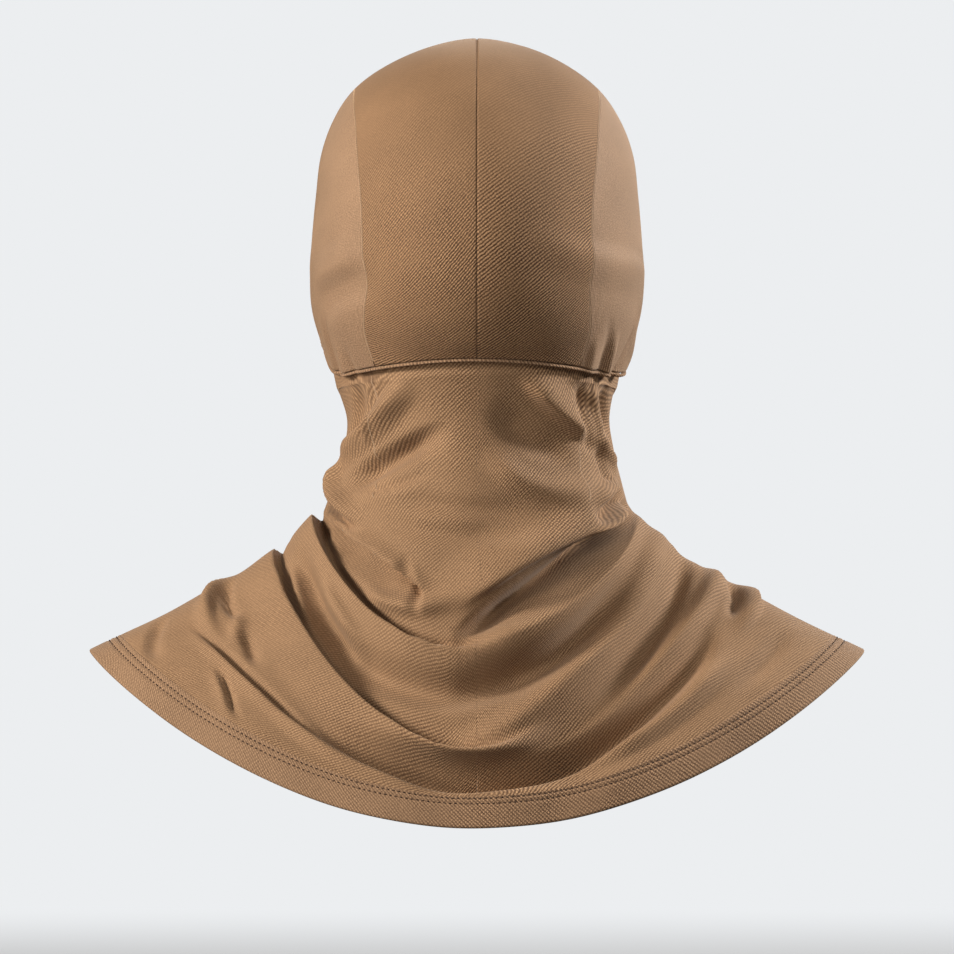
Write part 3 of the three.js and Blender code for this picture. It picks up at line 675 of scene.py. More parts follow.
def flat_place(tree):
    """The place in the cloth's flat pattern."""
    return add_node(tree, "ShaderNodeUVMap", {}, uv_map="UVMap").outputs["UV"]


def object_place(tree):
    """The place on the object."""
    return add_node(tree, "ShaderNodeTexCoord", {}).outputs["Object"]


def parts_of(tree, vector):
    """The three parts of a vector."""
    return add_node(tree, "ShaderNodeSeparateXYZ", {0: vector}).outputs


def stripes(tree, u, v, angle, pitch):
    """Lines at an angle to u: half of one plus a cosine wave, from 0 between two lines to 1 on
    a line."""
    turned = math_node(
        tree,
        "ADD",
        math_node(tree, "MULTIPLY", u, -np.sin(np.radians(angle)) * 2 * np.pi / pitch),
        math_node(tree, "MULTIPLY", v, np.cos(np.radians(angle)) * 2 * np.pi / pitch),
    )
    wave = math_node(tree, "COSINE", turned)
    return math_node(tree, "MULTIPLY_ADD", wave, 0.5, 0.5)


def mix_node(tree, factor, first, second):
    """A mix of two sockets or colours. A mix of colours has the inputs 0, 6 and 7 and the output 2."""
    inputs = {0: factor, 6: first, 7: second}
    return add_node(tree, "ShaderNodeMix", inputs, data_type="RGBA").outputs[2]


def linear(red, green, blue):
    """A colour given in 0 to 255 steps, as the shader's linear values, by the sRGB rule."""
    share = np.array([red, green, blue]) / 255
    value = np.where(share <= 0.04045, share / 12.92, ((share + 0.055) / 1.055) ** 2.4)
    return (*value, 1.0)


def ramp_node(tree, value, rows):
    """A number that follows another through rows of both, in even curves between them. A new
    curve has its first two points."""
    node = add_node(tree, "ShaderNodeFloatCurve", {})
    curve = node.mapping.curves[0]
    low, high = rows[0][0], rows[-1][0]
    most = max(row[1] for row in rows)
    for k, (at, result) in enumerate(rows):
        place = ((at - low) / (high - low), result / most)
        if k < 2:
            curve.points[k].location = place
        else:
            curve.points.new(*place)
    node.mapping.update()
    share = math_node(tree, "MULTIPLY_ADD", value, 1 / (high - low), -low / (high - low))
    tree.links.new(share, node.inputs["Value"])
    return math_node(tree, "MULTIPLY", node.outputs[0], most)


# What all the knits share: how much detail a noise has, and then, for each noise, its bumps to the
# metre and how far it swings, for the wander of the lines, the drift towards a mesh, the fibres, how
# clear the lines are, the shade and the specks
PLAIN_DETAIL = 2
FINE_DETAIL = 3
SPECK_DETAIL = 1
WANDER_SCALE = 420
WANDER = 1.1 * MM
DRIFT_SCALE = 22
DRIFT_SWING = 0.7
LEAST_MESH = 0.15
MOST_MESH = 0.9
FIBRE_SCALE = 1100
CLEAR_SCALE = 40
CLEAR_SWING = 1.2
LEAST_CLEAR = 0.15
MEAN_DASHES = 0.45
SHADE_SCALE = 34
SHADE_SWING = 0.3
SPECK_SCALE = 420
SPECK_SWING = 0.14
BUMP_STRENGTH = 0.8
KNIT_SPECULAR = 0.25
SHEEN_ROUGHNESS = 0.45
SHEEN_TINT = (1.0, 0.86, 0.72, 1.0)
# A knit's own look: the colours between its lines and on them, the angles and the pitches of both
# sets of lines, how far it is a mesh, the depth of its relief, its roughness and sheen, and how clear
# its lines are by the height and by the side of a place, partly for wear and partly as painted light
# and shade
Knit = namedtuple(
    "Knit", "gap yarn angle cross_angle pitch cross_pitch mesh depth roughness sheen by_height by_side"
)


def knit(name, look):
    """Knitted cloth on the piece's UV map in metres: raised lines at one angle, cut into short
    dashes by lines at another, which drift towards a mesh where both are as strong. The lines are
    clearer or fainter with the height and the side of the piece: partly where the cloth is worn or
    stretched, and partly as painted light and shade, fainter where the lamps fall full on the cloth
    and clearer where it lies in shade. The yarn's fibres and slow changes of shade lie over them."""
    material, tree, shader = new_material(name)
    cloth = flat_place(tree)
    calc = partial(math_node, tree)
    noise = partial(noise_node, tree, cloth)
    side, _, height = parts_of(tree, object_place(tree))
    wander = noise(WANDER_SCALE, FINE_DETAIL, "Color")
    wandered = add_node(
        tree,
        "ShaderNodeVectorMath",
        {0: wander, 1: (WANDER, WANDER, 0), 2: cloth},
        operation="MULTIPLY_ADD",
    )
    u, v, _ = parts_of(tree, wandered.outputs[0])
    line = stripes(tree, u, v, look.angle, look.pitch)
    cross = stripes(tree, u, v, look.cross_angle, look.cross_pitch)
    drift = calc("MULTIPLY_ADD", noise(DRIFT_SCALE, PLAIN_DETAIL), DRIFT_SWING, look.mesh - DRIFT_SWING / 2)
    mesh_share = calc("MINIMUM", calc("MAXIMUM", drift, LEAST_MESH), MOST_MESH)
    cut = calc("SUBTRACT", calc("MULTIPLY", line, cross), line)
    dashes = calc("ADD", line, calc("MULTIPLY", mesh_share, cut))
    dashes = calc("ADD", calc("SUBTRACT", noise(FIBRE_SCALE, PLAIN_DETAIL), 0.5), dashes)
    clear = calc("MULTIPLY_ADD", noise(CLEAR_SCALE, FINE_DETAIL), CLEAR_SWING, LEAST_CLEAR)
    # Painted light and shade in part: the lines are fainter where the lamps fall full on the cloth and
    # clearer where it lies in shade
    clear = calc("MULTIPLY", clear, ramp_node(tree, height, look.by_height))
    clear = calc("MULTIPLY", clear, ramp_node(tree, side, look.by_side))
    faded = calc("MULTIPLY_ADD", calc("SUBTRACT", dashes, MEAN_DASHES), clear, MEAN_DASHES)
    colour = mix_node(tree, faded, linear(*look.gap), linear(*look.yarn))
    shade = calc("MULTIPLY_ADD", noise(SHADE_SCALE, FINE_DETAIL), SHADE_SWING, 1 - SHADE_SWING / 2)
    speck = calc("MULTIPLY_ADD", noise(SPECK_SCALE, SPECK_DETAIL), SPECK_SWING, 1 - SPECK_SWING / 2)
    tone = calc("MULTIPLY", shade, speck)
    toned = add_node(tree, "ShaderNodeVectorMath", {0: colour, "Scale": tone}, operation="SCALE")
    relief = {"Strength": BUMP_STRENGTH, "Distance": look.depth, "Height": calc("MULTIPLY", dashes, clear)}
    feed(tree, shader, {
        "Base Color": toned.outputs[0],
        "Normal": add_node(tree, "ShaderNodeBump", relief).outputs[0],
        "Roughness": look.roughness,
        "Specular IOR Level": KNIT_SPECULAR,
        "Sheen Weight": look.sheen,
        "Sheen Roughness": SHEEN_ROUGHNESS,
        "Sheen Tint": SHEEN_TINT,
    })
    return material


# Places from side to side, in metres, with how clear the lines of the knit are there: partly wear
# and stretch of the cloth, and partly painted light, fainter towards the left of the view, where the
# warm panel falls on the cloth. Each knit has the same for its heights.
BY_SIDE = [(-0.2, 0.8), (-0.08, 1.0), (0.0, 1.0), (0.06, 0.75), (0.2, 0.7)]
# The crown's twill is a little darker than the neck's: painted shade over the crown
crown_knit = knit("crown_knit", Knit(
    gap=(66, 44, 29),
    yarn=(172, 136, 101),
    angle=44,
    cross_angle=-50,
    pitch=1.4 * MM,
    cross_pitch=1.6 * MM,
    mesh=0.4,
    depth=0.2 * MM,
    roughness=0.82,
    sheen=0.12,
    by_height=[(-0.2, 1.6), (-0.13, 1.45), (-0.07, 0.95), (-0.03, 0.35), (0.01, 0.2)],
    by_side=BY_SIDE,
))

CROWN_ROWS = 208
CROWN_COLUMNS = 92
RIM_CROWDING = 0.75
LEFT_AND_RIGHT = (("left", 1), ("right", -1))
rows_over_head = crowded(CROWN_ROWS, RIM_CROWDING)
crown_steps = crowded(CROWN_COLUMNS, RIM_CROWDING)
middle_line, middle_ends = line_over_head(middle_of_hood, rows_over_head)
side_line, side_ends = line_over_head(seam_of_hood, rows_over_head)
crown_map = patch(
    middle_line,
    side_line,
    edge_between(middle_ends[0], side_ends[0], crown_steps),
    edge_between(middle_ends[1], side_ends[1], crown_steps),
    rows_over_head,
    crown_steps,
)


def hood_cloth(name, places, sign, material):
    """A cloth of the hood over places of the flat map, on the side that the sign gives."""
    turn = sign * turn_of(places)
    level = level_of(places)
    outside = hood_place(turn, level)
    normals = outwards(turn, level)
    pattern = flat_pattern(plain_place(turn, level), normals, -sign)
    cloth = cloth_wall(name, outside, normals, CLOTH, (SEAM_ROUNDING,) * 3, material, pattern)
    return cloth


for side, sign in LEFT_AND_RIGHT:
    crown = hood_cloth("crown_cloth_" + side, crown_map, sign, crown_knit)
    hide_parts("crown_" + side)
    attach(crown, "root")

# The two side panels over the ears: smooth jersey, lighter than the twill, sewn to the middle
# panel along the side seams and to the turned edge of the hood below.
PANEL_FRONT_TURN = 120
PANEL_BACK_TURN = 75
PANEL_COLUMNS = 90
smooth_knit = knit("smooth_knit", Knit(
    gap=(106, 81, 60),
    yarn=(174, 142, 113),
    angle=90,
    cross_angle=0,
    pitch=0.9 * MM,
    cross_pitch=0.8 * MM,
    mesh=0.5,
    depth=0.12 * MM,
    roughness=0.7,
    sheen=0.25,
    by_height=[(-0.2, 1.6), (-0.13, 1.3), (-0.07, 1.0), (0.01, 0.8)],
    by_side=[(-0.1, 1.3), (0.1, 1.0)],
))
panel_steps = crowded(PANEL_COLUMNS, RIM_CROWDING)
panel_map = patch(
    side_line,
    edge_between(PANEL_FRONT_TURN, PANEL_BACK_TURN, rows_over_head),
    edge_between(side_ends[0], PANEL_FRONT_TURN, panel_steps),
    edge_between(side_ends[1], PANEL_BACK_TURN, panel_steps),
    rows_over_head,
    panel_steps,
)
for side, sign in LEFT_AND_RIGHT:
    panel = hood_cloth("side_panel_cloth_" + side, panel_map, sign, smooth_knit)
    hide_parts("side_panel_" + side)
    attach(panel, "root")

# The turned edge of the hood: a narrow raised welt round the nape and a wider binding round the
# face, both a strip of the knit folded over the edge and stitched down.
TURNED_EDGE = 2.4 * MM
OUTSIDE_SHARE = 0.75
EDGE_PROUD = (TURNED_EDGE - CLOTH) * OUTSIDE_SHARE
RIB_WIDTH = 1.5 * MM
BAND_ROWS = 16
WELT_END = 97.5
EDGE_COLUMNS = 560
edge_knit = knit("edge_knit", Knit(
    gap=(74, 52, 37),
    yarn=(180, 146, 114),
    angle=-45,
    cross_angle=45,
    pitch=1.34 * MM,
    cross_pitch=1.34 * MM,
    mesh=0.6,
    depth=0.22 * MM,
    roughness=0.82,
    sheen=0.15,
    by_height=[(-0.4, 0.8), (-0.34, 0.95), (-0.2, 1.0), (0.01, 0.6)],
    by_side=BY_SIDE,
))


def across_band(count):
    """Steps across a turned edge, close together at both of its rounded rims."""
    return (1 - np.cos(np.pi * np.linspace(0, 1, count + 1))) / 2


def edge_strip(name, node, turns, place, top, foot, rise, roundings, rows=BAND_ROWS, closes=False):
    """A turned edge between two levels along a row of turns, which stands out from its place by a
    rise, either one for all or worked out from turn and level."""
    turn = np.tile(turns, (rows + 1, 1))
    r = across_band(rows)[:, None]
    level = top(turn) + (foot(turn) - top(turn)) * r
    normals = outwards(turn, level)
    out = rise(turn, level) if callable(rise) else np.full(turn.shape, rise)
    outside = place(turn, level) + normals * out[..., None]
    u = steps_along(outside, 1)
    middle = u[:, [np.argmin(np.abs(turns))]]
    pattern = np.stack([middle - u, -steps_along(outside, 0)], axis=-1)
    strip = cloth_wall(name, outside, normals, TURNED_EDGE, roundings, edge_knit, pattern, closes)
    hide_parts(node)
    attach(strip, "root")


def rib_top(turn):
    """The upper level of the rib, which leaves a groove between itself and the panels."""
    return level_above(hood_edge_level, turn, RIB_WIDTH)


welt_turns = np.linspace(-WELT_END, WELT_END, EDGE_COLUMNS)
piece_gap = np.degrees(SEAM_GAP / nape[HALF])
binding_turns = np.linspace(WELT_END + piece_gap, 2 * HALF_TURN - WELT_END - piece_gap, EDGE_COLUMNS)
rib_ends = (RIB_WIDTH / 2,) * 3
binding_ends = (TURNED_EDGE / 2,) * 3
edge_strip("nape_rib", "nape_welt", welt_turns, hood_place, rib_top, hood_edge_level, EDGE_PROUD, rib_ends)
edge_strip(
    "face_edge",
    "face_binding",
    binding_turns,
    hood_place,
    band_line,
    hood_edge_level,
    EDGE_PROUD,
    binding_ends,
)

# The neck piece in two halves of the twill knit, sewn inside the hood's edge along the nape. It
# hangs loose round the neck, sags into deep rolls, spreads over the shoulders as the cape and goes
# up in front as the mask.
neck_knit = knit("neck_knit", Knit(
    gap=(75, 51, 34),
    yarn=(180, 145, 110),
    angle=44,
    cross_angle=-48,
    pitch=1.38 * MM,
    cross_pitch=1.45 * MM,
    mesh=0.55,
    depth=0.18 * MM,
    roughness=0.82,
    sheen=0.15,
    by_height=[(-0.4, 1.0), (-0.33, 1.05), (-0.29, 0.8), (-0.26, 0.85), (-0.2, 1.05), (-0.15, 1.0)],
    by_side=[(-0.2, 0.55), (-0.1, 0.8), (-0.065, 0.8), (-0.04, 1.1), (0.0, 0.95), (0.05, 0.7), (0.2, 0.8)],
))
LAP_DEPTH = 6 * MM
LAP_ROOM = 0.7 * MM
# Levels below the hood's edge over which the lap inside it comes out
LAP_START = 0.008
LAP_REACH = 0.032
MASK_EDGE_WIDTH = 8 * MM
HEM_WIDTH = 15.6 * MM
NOSE_RISE = 12 * MM
NOSE_HALF = 23 * MM
NOSE_HALF_LENGTH = 38 * MM
NOSE_LEVEL = 0.9
SEAM_HOLD = 0.2
SEAM_REACH = 0.06
NECK_DRIFT = 1.6 * MM
NECK_WAVE = 48 * MM
NECK_SEED = 11

CAPE_FOLDS = [
    # first roll, left: a crease with the roll's lip standing over it
    Fold((112, 1.485), (56, 1.57), (-16, 1.49), -0.55, 0.62, 0.5, 2.6, 0.4, 0.3, -0.4),
    # soft edge of the neck's sag, the deep hollow under it, and the crest of the first roll, right
    Fold((12, 1.47), (-26, 1.31), (-78, 1.405), 0.75, 0.75, 2.2, 0.8, 0.25, 0.35, 0.5),
    Fold((10, 1.51), (-26, 1.38), (-92, 1.445), -1.5, -1.5, 0.7, 0.9, 0.25, 0.3),
    Fold((16, 1.505), (-45, 1.48), (-106, 1.52), 0.7, 0.7, 1.0, 1.9, 0.25, 0.45, -0.1),
    # soft edge of the sag, left, over the brown hollow inside the roll, and the tuck at its end
    Fold((88, 1.45), (42, 1.385), (19, 1.455), 0.5, -0.75, 0.9, 1.1, 0.25, 0.2, 0.3),
    Fold((74, 1.49), (46, 1.445), (26, 1.47), -0.4, -0.4, 0.8, 0.7, 0.3, 0.35),
    Fold((48, 1.5), (26, 1.475), (2, 1.435), 0.4, 0.4, 0.6, 0.8, 0.3, 0.4),
    Fold((30, 1.4), (24, 1.44), (21, 1.48), -0.4, -0.4, 0.4, 0.5, 0.4, 0.3),
    # dents on the outside of the first roll, left
    Fold((78, 1.62), (58, 1.66), (40, 1.64), -0.6, -0.6, 0.8, 0.9, 0.3, 0.3),
    Fold((62, 1.585), (50, 1.6), (36, 1.6), 0.3, 0.3, 0.5, 0.6, 0.4, 0.4),
    Fold((80, 1.66), (66, 1.69), (54, 1.69), 0.3, 0.3, 0.5, 0.4, 0.4, 0.4),
    # valley below the first roll, left, middle and right
    Fold((54, 1.69), (20, 1.56), (-24, 1.58), -0.6, -0.6, 1.2, 1.2, 0.25, 0.35),
    Fold((10, 1.57), (-32, 1.545), (-74, 1.6), -0.8, -0.8, 1.3, 1.2, 0.3, 0.4),
    # second roll, left: crease and lip
    Fold((106, 1.68), (56, 1.77), (-24, 1.665), -0.65, 0.62, 0.6, 2.2, 0.4, 0.3, -0.4),
    # crest of the second roll, right
    Fold((16, 1.73), (-46, 1.5), (-106, 1.695), 0.65, 0.65, 1.2, 2.0, 0.25, 0.4, -0.15),
    # the cape falls in under the second roll
    Fold((40, 1.84), (0, 1.78), (-44, 1.82), -1.4, -1.4, 0.9, 1.1, 0.35, 0.35),
    Fold((30, 1.745), (2, 1.7), (-26, 1.7), 0.45, 0.45, 0.9, 0.6, 0.4, 0.4, 0.4),
    # right shoulder: valley, long ridge and valley to the hem, and the pocket with its ridge
    Fold((-96, 1.715), (-66, 1.73), (-34, 1.715), -0.4, -0.4, 0.8, 0.7, 0.35, 0.4),
    Fold((-104, 1.765), (-68, 1.79), (-26, 1.745), 0.4, 0.4, 0.7, 0.8, 0.45, 0.35),
    Fold((-66, 1.8), (-44, 1.835), (-16, 1.8), -0.55, -0.55, 0.8, 0.8, 0.35, 0.35),
    Fold((-62, 1.85), (-40, 1.88), (-18, 1.865), 0.35, 0.35, 0.8, 0.8, 0.35, 0.35),
    Fold((-92, 1.792), (-80, 1.81), (-68, 1.82), -0.35, -0.35, 0.5, 0.5, 0.35, 0.35),
    Fold((-100, 1.8), (-82, 1.85), (-64, 1.84), 0.3, 0.3, 0.5, 0.9, 0.45, 0.3, -0.2),
    Fold((-76, 1.9), (-62, 1.9), (-48, 1.91), -0.2, -0.2, 0.8, 0.8, 0.4, 0.4),
    # left shoulder: curled ridge and knuckle, the dark crease below them, and wrinkles to the hem
    Fold((92, 1.775), (82, 1.84), (62, 1.85), 0.4, 0.4, 0.6, 0.7, 0.4, 0.4, -0.2),
    Fold((86, 1.78), (76, 1.81), (66, 1.8), -0.35, -0.35, 0.4, 0.4, 0.35, 0.35),
    Fold((70, 1.79), (64, 1.81), (60, 1.84), 0.25, 0.25, 0.5, 0.4, 0.4, 0.4),
    Fold((64, 1.8), (58, 1.81), (52, 1.83), -0.3, -0.3, 0.5, 0.5, 0.4, 0.4),
    Fold((72, 1.87), (54, 1.845), (26, 1.87), -0.45, 0.2, 0.5, 0.8, 0.3, 0.4, -0.1),
    Fold((58, 1.875), (50, 1.9), (42, 1.935), -0.3, 0.15, 0.4, 0.7, 0.35, 0.35),
    Fold((84, 1.88), (74, 1.92), (64, 1.93), -0.25, -0.25, 0.6, 0.6, 0.4, 0.4),
    Fold((44, 1.86), (24, 1.89), (6, 1.88), 0.25, 0.25, 0.8, 0.8, 0.35, 0.35),
    # neck, left: slanted ridge, the dark band under it, the edge of the sag that curls back under
    # the ridge's end, the slit below the curl, and the short ridge at the side seam
    Fold((26, 1.03), (50, 1.16), (86, 1.29), 0.5, 0.5, 1.1, 0.8, 0.3, 0.3, 0.1),
    Fold((54, 1.03), (66, 1.12), (80, 1.27), -0.25, -0.25, 0.7, 0.8, 0.4, 0.3),
    Fold((66, 1.325), (42, 1.22), (8, 1.15), -0.65, -0.65, 0.7, 1.0, 0.3, 0.4),
    Fold((74, 1.26), (88, 1.37), (44, 1.38), 0.55, 0.55, 0.7, 0.5, 0.3, 0.35, 0.2),
    Fold((92, 1.385), (68, 1.41), (46, 1.395), -0.55, -0.55, 0.4, 0.4, 0.35, 0.35),
    Fold((52, 1.1), (51, 1.16), (56, 1.22), 0.2, -0.2, 0.4, 0.4, 0.35, 0.35),
    # neck, middle: the long soft folds of the sag
    Fold((58, 1.325), (36, 1.295), (16, 1.25), -0.22, 0.16, 0.5, 1.0, 0.35, 0.4, -0.1),
    Fold((36, 1.31), (8, 1.305), (-26, 1.32), -0.28, -0.28, 0.8, 0.7, 0.35, 0.35),
    Fold((50, 1.35), (0, 1.365), (-46, 1.315), -0.25, -0.25, 0.9, 0.8, 0.3, 0.3),
    # neck, right: slanted ridge, hollow inside it, deep valley, ridge at the edge, long low ridge
    Fold((-18, 1.02), (-36, 1.13), (-66, 1.2), 0.5, 0.5, 1.4, 0.8, 0.3, 0.25, 0.2),
    Fold((-4, 1.1), (-22, 1.2), (-48, 1.235), -0.35, -0.35, 1.4, 1.1, 0.35, 0.3),
    Fold((-46, 1.03), (-52, 1.14), (-60, 1.25), -0.3, -0.3, 0.6, 0.6, 0.4, 0.35),
    Fold((-56, 1.03), (-62, 1.12), (-70, 1.24), 0.3, 0.3, 0.6, 0.6, 0.4, 0.35),
    Fold((-66, 1.04), (-74, 1.12), (-84, 1.2), -0.3, -0.3, 0.7, 0.7, 0.4, 0.35),
    Fold((-2, 1.2), (-24, 1.32), (-62, 1.295), 0.4, 0.4, 1, 1, 0.3, 0.3, 0.2),
    Fold((-60, 1.18), (-72, 1.24), (-82, 1.31), 0.3, 0.3, 0.5, 0.5, 0.3, 0.4),
    Fold((-62, 1.22), (-66, 1.27), (-66, 1.32), -0.2, -0.2, 0.6, 0.6, 0.3, 0.3),
    # the loop of cloth rolled up at the right edge of the sag
    Fold((-46, 1.325), (-60, 1.32), (-80, 1.33), 0.35, 0.35, 0.6, 0.5, 0.35, 0.4, 0.2),
    Fold((-44, 1.352), (-60, 1.355), (-82, 1.365), -0.6, -0.6, 0.5, 0.5, 0.3, 0.35),
    Fold((-40, 1.385), (-56, 1.39), (-78, 1.39), 0.5, 0.5, 0.5, 0.5, 0.3, 0.35, 0.1),
    # front: folds under the chin and across the chest
    Fold((108, 1.22), (180, 1.15), (252, 1.22), -0.35, -0.35, 1.2, 1, 0.3, 0.3),
    Fold((98, 1.49), (180, 1.475), (262, 1.49), -0.6, 0.5, 1, 2.2, 0.3, 0.3, -0.3),
    Fold((98, 1.7), (180, 1.675), (262, 1.7), -0.6, 0.5, 1, 2.2, 0.3, 0.3, -0.3),
    Fold((112, 1.82), (180, 1.8), (250, 1.84), 0.3, 0.3, 1.5, 1.8, 0.3, 0.3),
]


def nose_height(points):
    """The bump that the nose makes in the mask: (1-x²)² across times (1-z²)² down."""
    tip = plain_place(np.array(float(HALF_TURN)), np.array(NOSE_LEVEL))
    across = np.minimum(np.abs(points[..., 0]) / NOSE_HALF, 1)
    down = np.minimum(np.abs(points[..., 2] - tip[2]) / NOSE_HALF_LENGTH, 1)
    return np.where(points[..., 1] > 0, 0, NOSE_RISE * (1 - across**2) ** 2 * (1 - down**2) ** 2)


def neck_place(turn, level):
    """The outside of the neck piece: the plain form with its folds, which the nape seam holds down
    along it, the nose in front, and a slight unevenness."""
    plain = plain_place(turn, level)
    normals = outwards(turn, level)
    hold = SEAM_HOLD + (1 - SEAM_HOLD) * ease(np.abs(level - NAPE_LEVEL) / SEAM_REACH)
    uneven = NECK_DRIFT * undulation(plain, NECK_WAVE, NECK_SEED)
    rise = nose_height(plain) + hold * uneven
    return plain + hold[..., None] * fold_push(CAPE_FOLDS, turn, level) + normals * rise[..., None]


lap_inset = TURNED_EDGE - EDGE_PROUD + LAP_ROOM


def lap_rise(turn, level):
    """How far the neck piece lies inside the hood, from the full inset at the hood's edge to none."""
    return -lap_inset * (1 - ease((level - hood_edge_level(turn) - LAP_START) / LAP_REACH))


# The upper edge of the neck piece by turn: its level, and how much of the mask's wide edge it has
MASK_TOP = np.array([
    (0, 1, 0),
    (70, 0.996, 0),
    (90, 0.974, 0),
    (102, 0.945, 0.3),
    (114, 0.905, 1),
    (126, 0.86, 1),
    (138, 0.825, 1),
    (150, 0.805, 1),
    (164, 0.79, 1),
    (180, 0.775, 1),
])


def level_length(turn, level):
    """Metres to a level at a place of the plain form."""
    step = plain_place(np.array(float(turn)), np.array([level - PROBE, float(level)]))
    return np.linalg.norm(step[1] - step[0]) / PROBE


nape_scale = level_length(0, NAPE_LEVEL)
hem_scale = level_length(HALF_TURN / 2, HEM_LEVEL)
hem_top = HEM_LEVEL - HEM_WIDTH / hem_scale


def mask_top_level(turn):
    """The upper level of the neck piece's turned edge, which goes up inside the hood at the nape."""
    lap = LAP_DEPTH / nape_scale * (1 - wide_share(MASK_TOP, turn))
    return smooth_column(MASK_TOP, 1, folded_turn(turn)) - lap


def mask_line(turn, inset=0.0):
    """The level of a line in the neck piece's turned edge, at an inset from its lower rim."""
    return level_above(mask_top_level, turn, inset - band_width(MASK_TOP, MASK_EDGE_WIDTH, turn))


NECK_ROWS = 208
NECK_COLUMNS = 208
NECK_CROWDING = 0.36
NECK_END_CROWDING = 0.6
UPPER_LEVEL = 1.12
UPPER_SHARE = 0.16
# Shares of the rows, and the levels that they reach: rows lie closer where the folds are
ROW_SHARES = (UPPER_SHARE, 0.34, 0.43, 0.57, 0.67, 0.79, 0.9, 1)
ROW_LEVELS = (UPPER_LEVEL, 1.35, 1.43, 1.545, 1.665, 1.775, 1.9, hem_top + SEAM_LAP / hem_scale)
CENTRE_GAP = 0.02 * MM
NECK_FAN = 1.3
CUT_SQUARE = (0, 0, 0)
row_steps = crowded(NECK_ROWS, NECK_END_CROWDING)[:, None]
column_steps = crowded(NECK_COLUMNS, NECK_END_CROWDING)[None, :]
neck_turn = HALF_TURN * column_steps * (1 - NECK_CROWDING + NECK_CROWDING * column_steps)
neck_turn = np.tile(neck_turn, (NECK_ROWS + 1, 1))
top = mask_line(neck_turn, SEAM_LAP)
upper = top + (UPPER_LEVEL - top) * np.minimum(row_steps / UPPER_SHARE, 1)
lower = np.interp(row_steps, ROW_SHARES, ROW_LEVELS)
neck_level = np.where(row_steps < UPPER_SHARE, upper, lower)
end_turn = np.degrees(CENTRE_GAP / 2 / section_at(HALF, neck_level))
neck_turn = np.clip(neck_turn, end_turn, HALF_TURN - end_turn)
for side, sign in LEFT_AND_RIGHT:
    turn = sign * neck_turn
    normals = outwards(turn, neck_level)
    outside = neck_place(turn, neck_level) + normals * lap_rise(turn, neck_level)[..., None]
    plain = plain_place(turn, neck_level)
    pattern = fan_pattern(plain, -sign, NECK_FAN)
    pattern = fitted(pattern, plain, COARSE_FITTING, COARSE_EVENING)
    pattern[..., 1] -= evened(steps_along(outside, 0) - steps_along(plain, 0), ARC_EVENING, 1)
    pattern = fitted(pattern, outside, FINE_FITTING, FINE_EVENING)
    half = cloth_wall("bib_cloth_" + side, outside, normals, CLOTH, CUT_SQUARE, neck_knit, pattern)
    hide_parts("bib_" + side)
    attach(half, "root")

# The mask's turned edge over the nose: the knit of the neck piece folded over and stitched down.
# Both of its ends lie inside the hood, under the side panels.
MASK_EDGE_TURN = 108
MASK_COLUMNS = 300
mask_turns = np.linspace(MASK_EDGE_TURN, 2 * HALF_TURN - MASK_EDGE_TURN, MASK_COLUMNS)
edge_strip(
    "mask_fold",
    "mask_edge",
    mask_turns,
    neck_place,
    mask_top_level,
    mask_line,
    lap_rise,
    binding_ends,
)

# The hem of the cape: the cloth turned under and stitched down with two rows of dark stitches,
# which pull it in along them.
HEM_COLUMNS = 720
HEM_ROWS = 40
HEM_PROUD = 0.25 * MM
HEM_TOP_ROUNDING = 0.3 * MM
STITCH_ROWS = (14.4 * MM, 11.4 * MM)
STITCH_GROOVE = 0.4 * MM
GROOVE_HALF = 1.3 * MM


def hem_level(turn, distance=0.0):
    """The level at a real distance above the lower edge of the cape."""
    return level_above(lambda t: np.full(np.shape(t), float(HEM_LEVEL)), turn, distance)


def hem_rise(turn, level):
    """How far the hem stands out: less along both rows of stitches."""
    rise = np.full(turn.shape, HEM_PROUD)
    scale = (HEM_LEVEL - hem_level(turn, HEM_WIDTH)) / HEM_WIDTH
    for row in STITCH_ROWS:
        away = np.abs((HEM_LEVEL - level) / scale - row)
        rise -= STITCH_GROOVE * (1 - ease(away / GROOVE_HALF))
    return rise


hem_turns = np.linspace(-HALF_TURN, HALF_TURN, HEM_COLUMNS, endpoint=False)
edge_strip(
    "hem_fold",
    "hem_band",
    hem_turns,
    neck_place,
    lambda turn: np.full(turn.shape, hem_top),
    hem_level,
    hem_rise,
    (HEM_TOP_ROUNDING, TURNED_EDGE / 2, 0),
    rows=HEM_ROWS,
    closes=True,
)

# The stitches: dark thread in two rows round the hem, light thread along the turned edges of the
# face and the mask, and light flat seams of slanting stitches over the side seams of the hood and
# down both sides of the neck.
STITCH_SIDES = 6
STITCH_RINGS = 5
STITCH_TIP = 0.02
HEADING_STEP = 1 * MM
TWIST_ANGLE = 60
TWIST_PITCH = 0.3 * MM
TWIST_SHADE = 0.7
THREAD_ROUGHNESS = 0.8
Stitch = namedtuple("Stitch", "spacing length width slant")
HEM_STITCH = Stitch(2.6 * MM, 1.5 * MM, 0.75 * MM, 0)
EDGE_STITCH = Stitch(2.6 * MM, 1.7 * MM, 0.5 * MM, 0)
SEAM_STITCH = Stitch(1.1 * MM, 1.9 * MM, 0.5 * MM, 35)


def thread(name, colour):
    """Twisted thread: darker lines across each stitch."""
    material, tree, shader = new_material(name)
    u, v, _ = parts_of(tree, flat_place(tree))
    twist = stripes(tree, u, v, TWIST_ANGLE, TWIST_PITCH)
    dark = linear(*(TWIST_SHADE * np.array(colour)))
    coat = mix_node(tree, twist, dark, linear(*colour))
    feed(tree, shader, {"Base Color": coat, "Roughness": THREAD_ROUGHNESS})
    return material


def at_lengths(values, run, lengths):
    """The values at lengths along a line, straight between its places, which lie at a running length."""
    return np.stack([np.interp(lengths, run, column) for column in values.T], axis=-1)


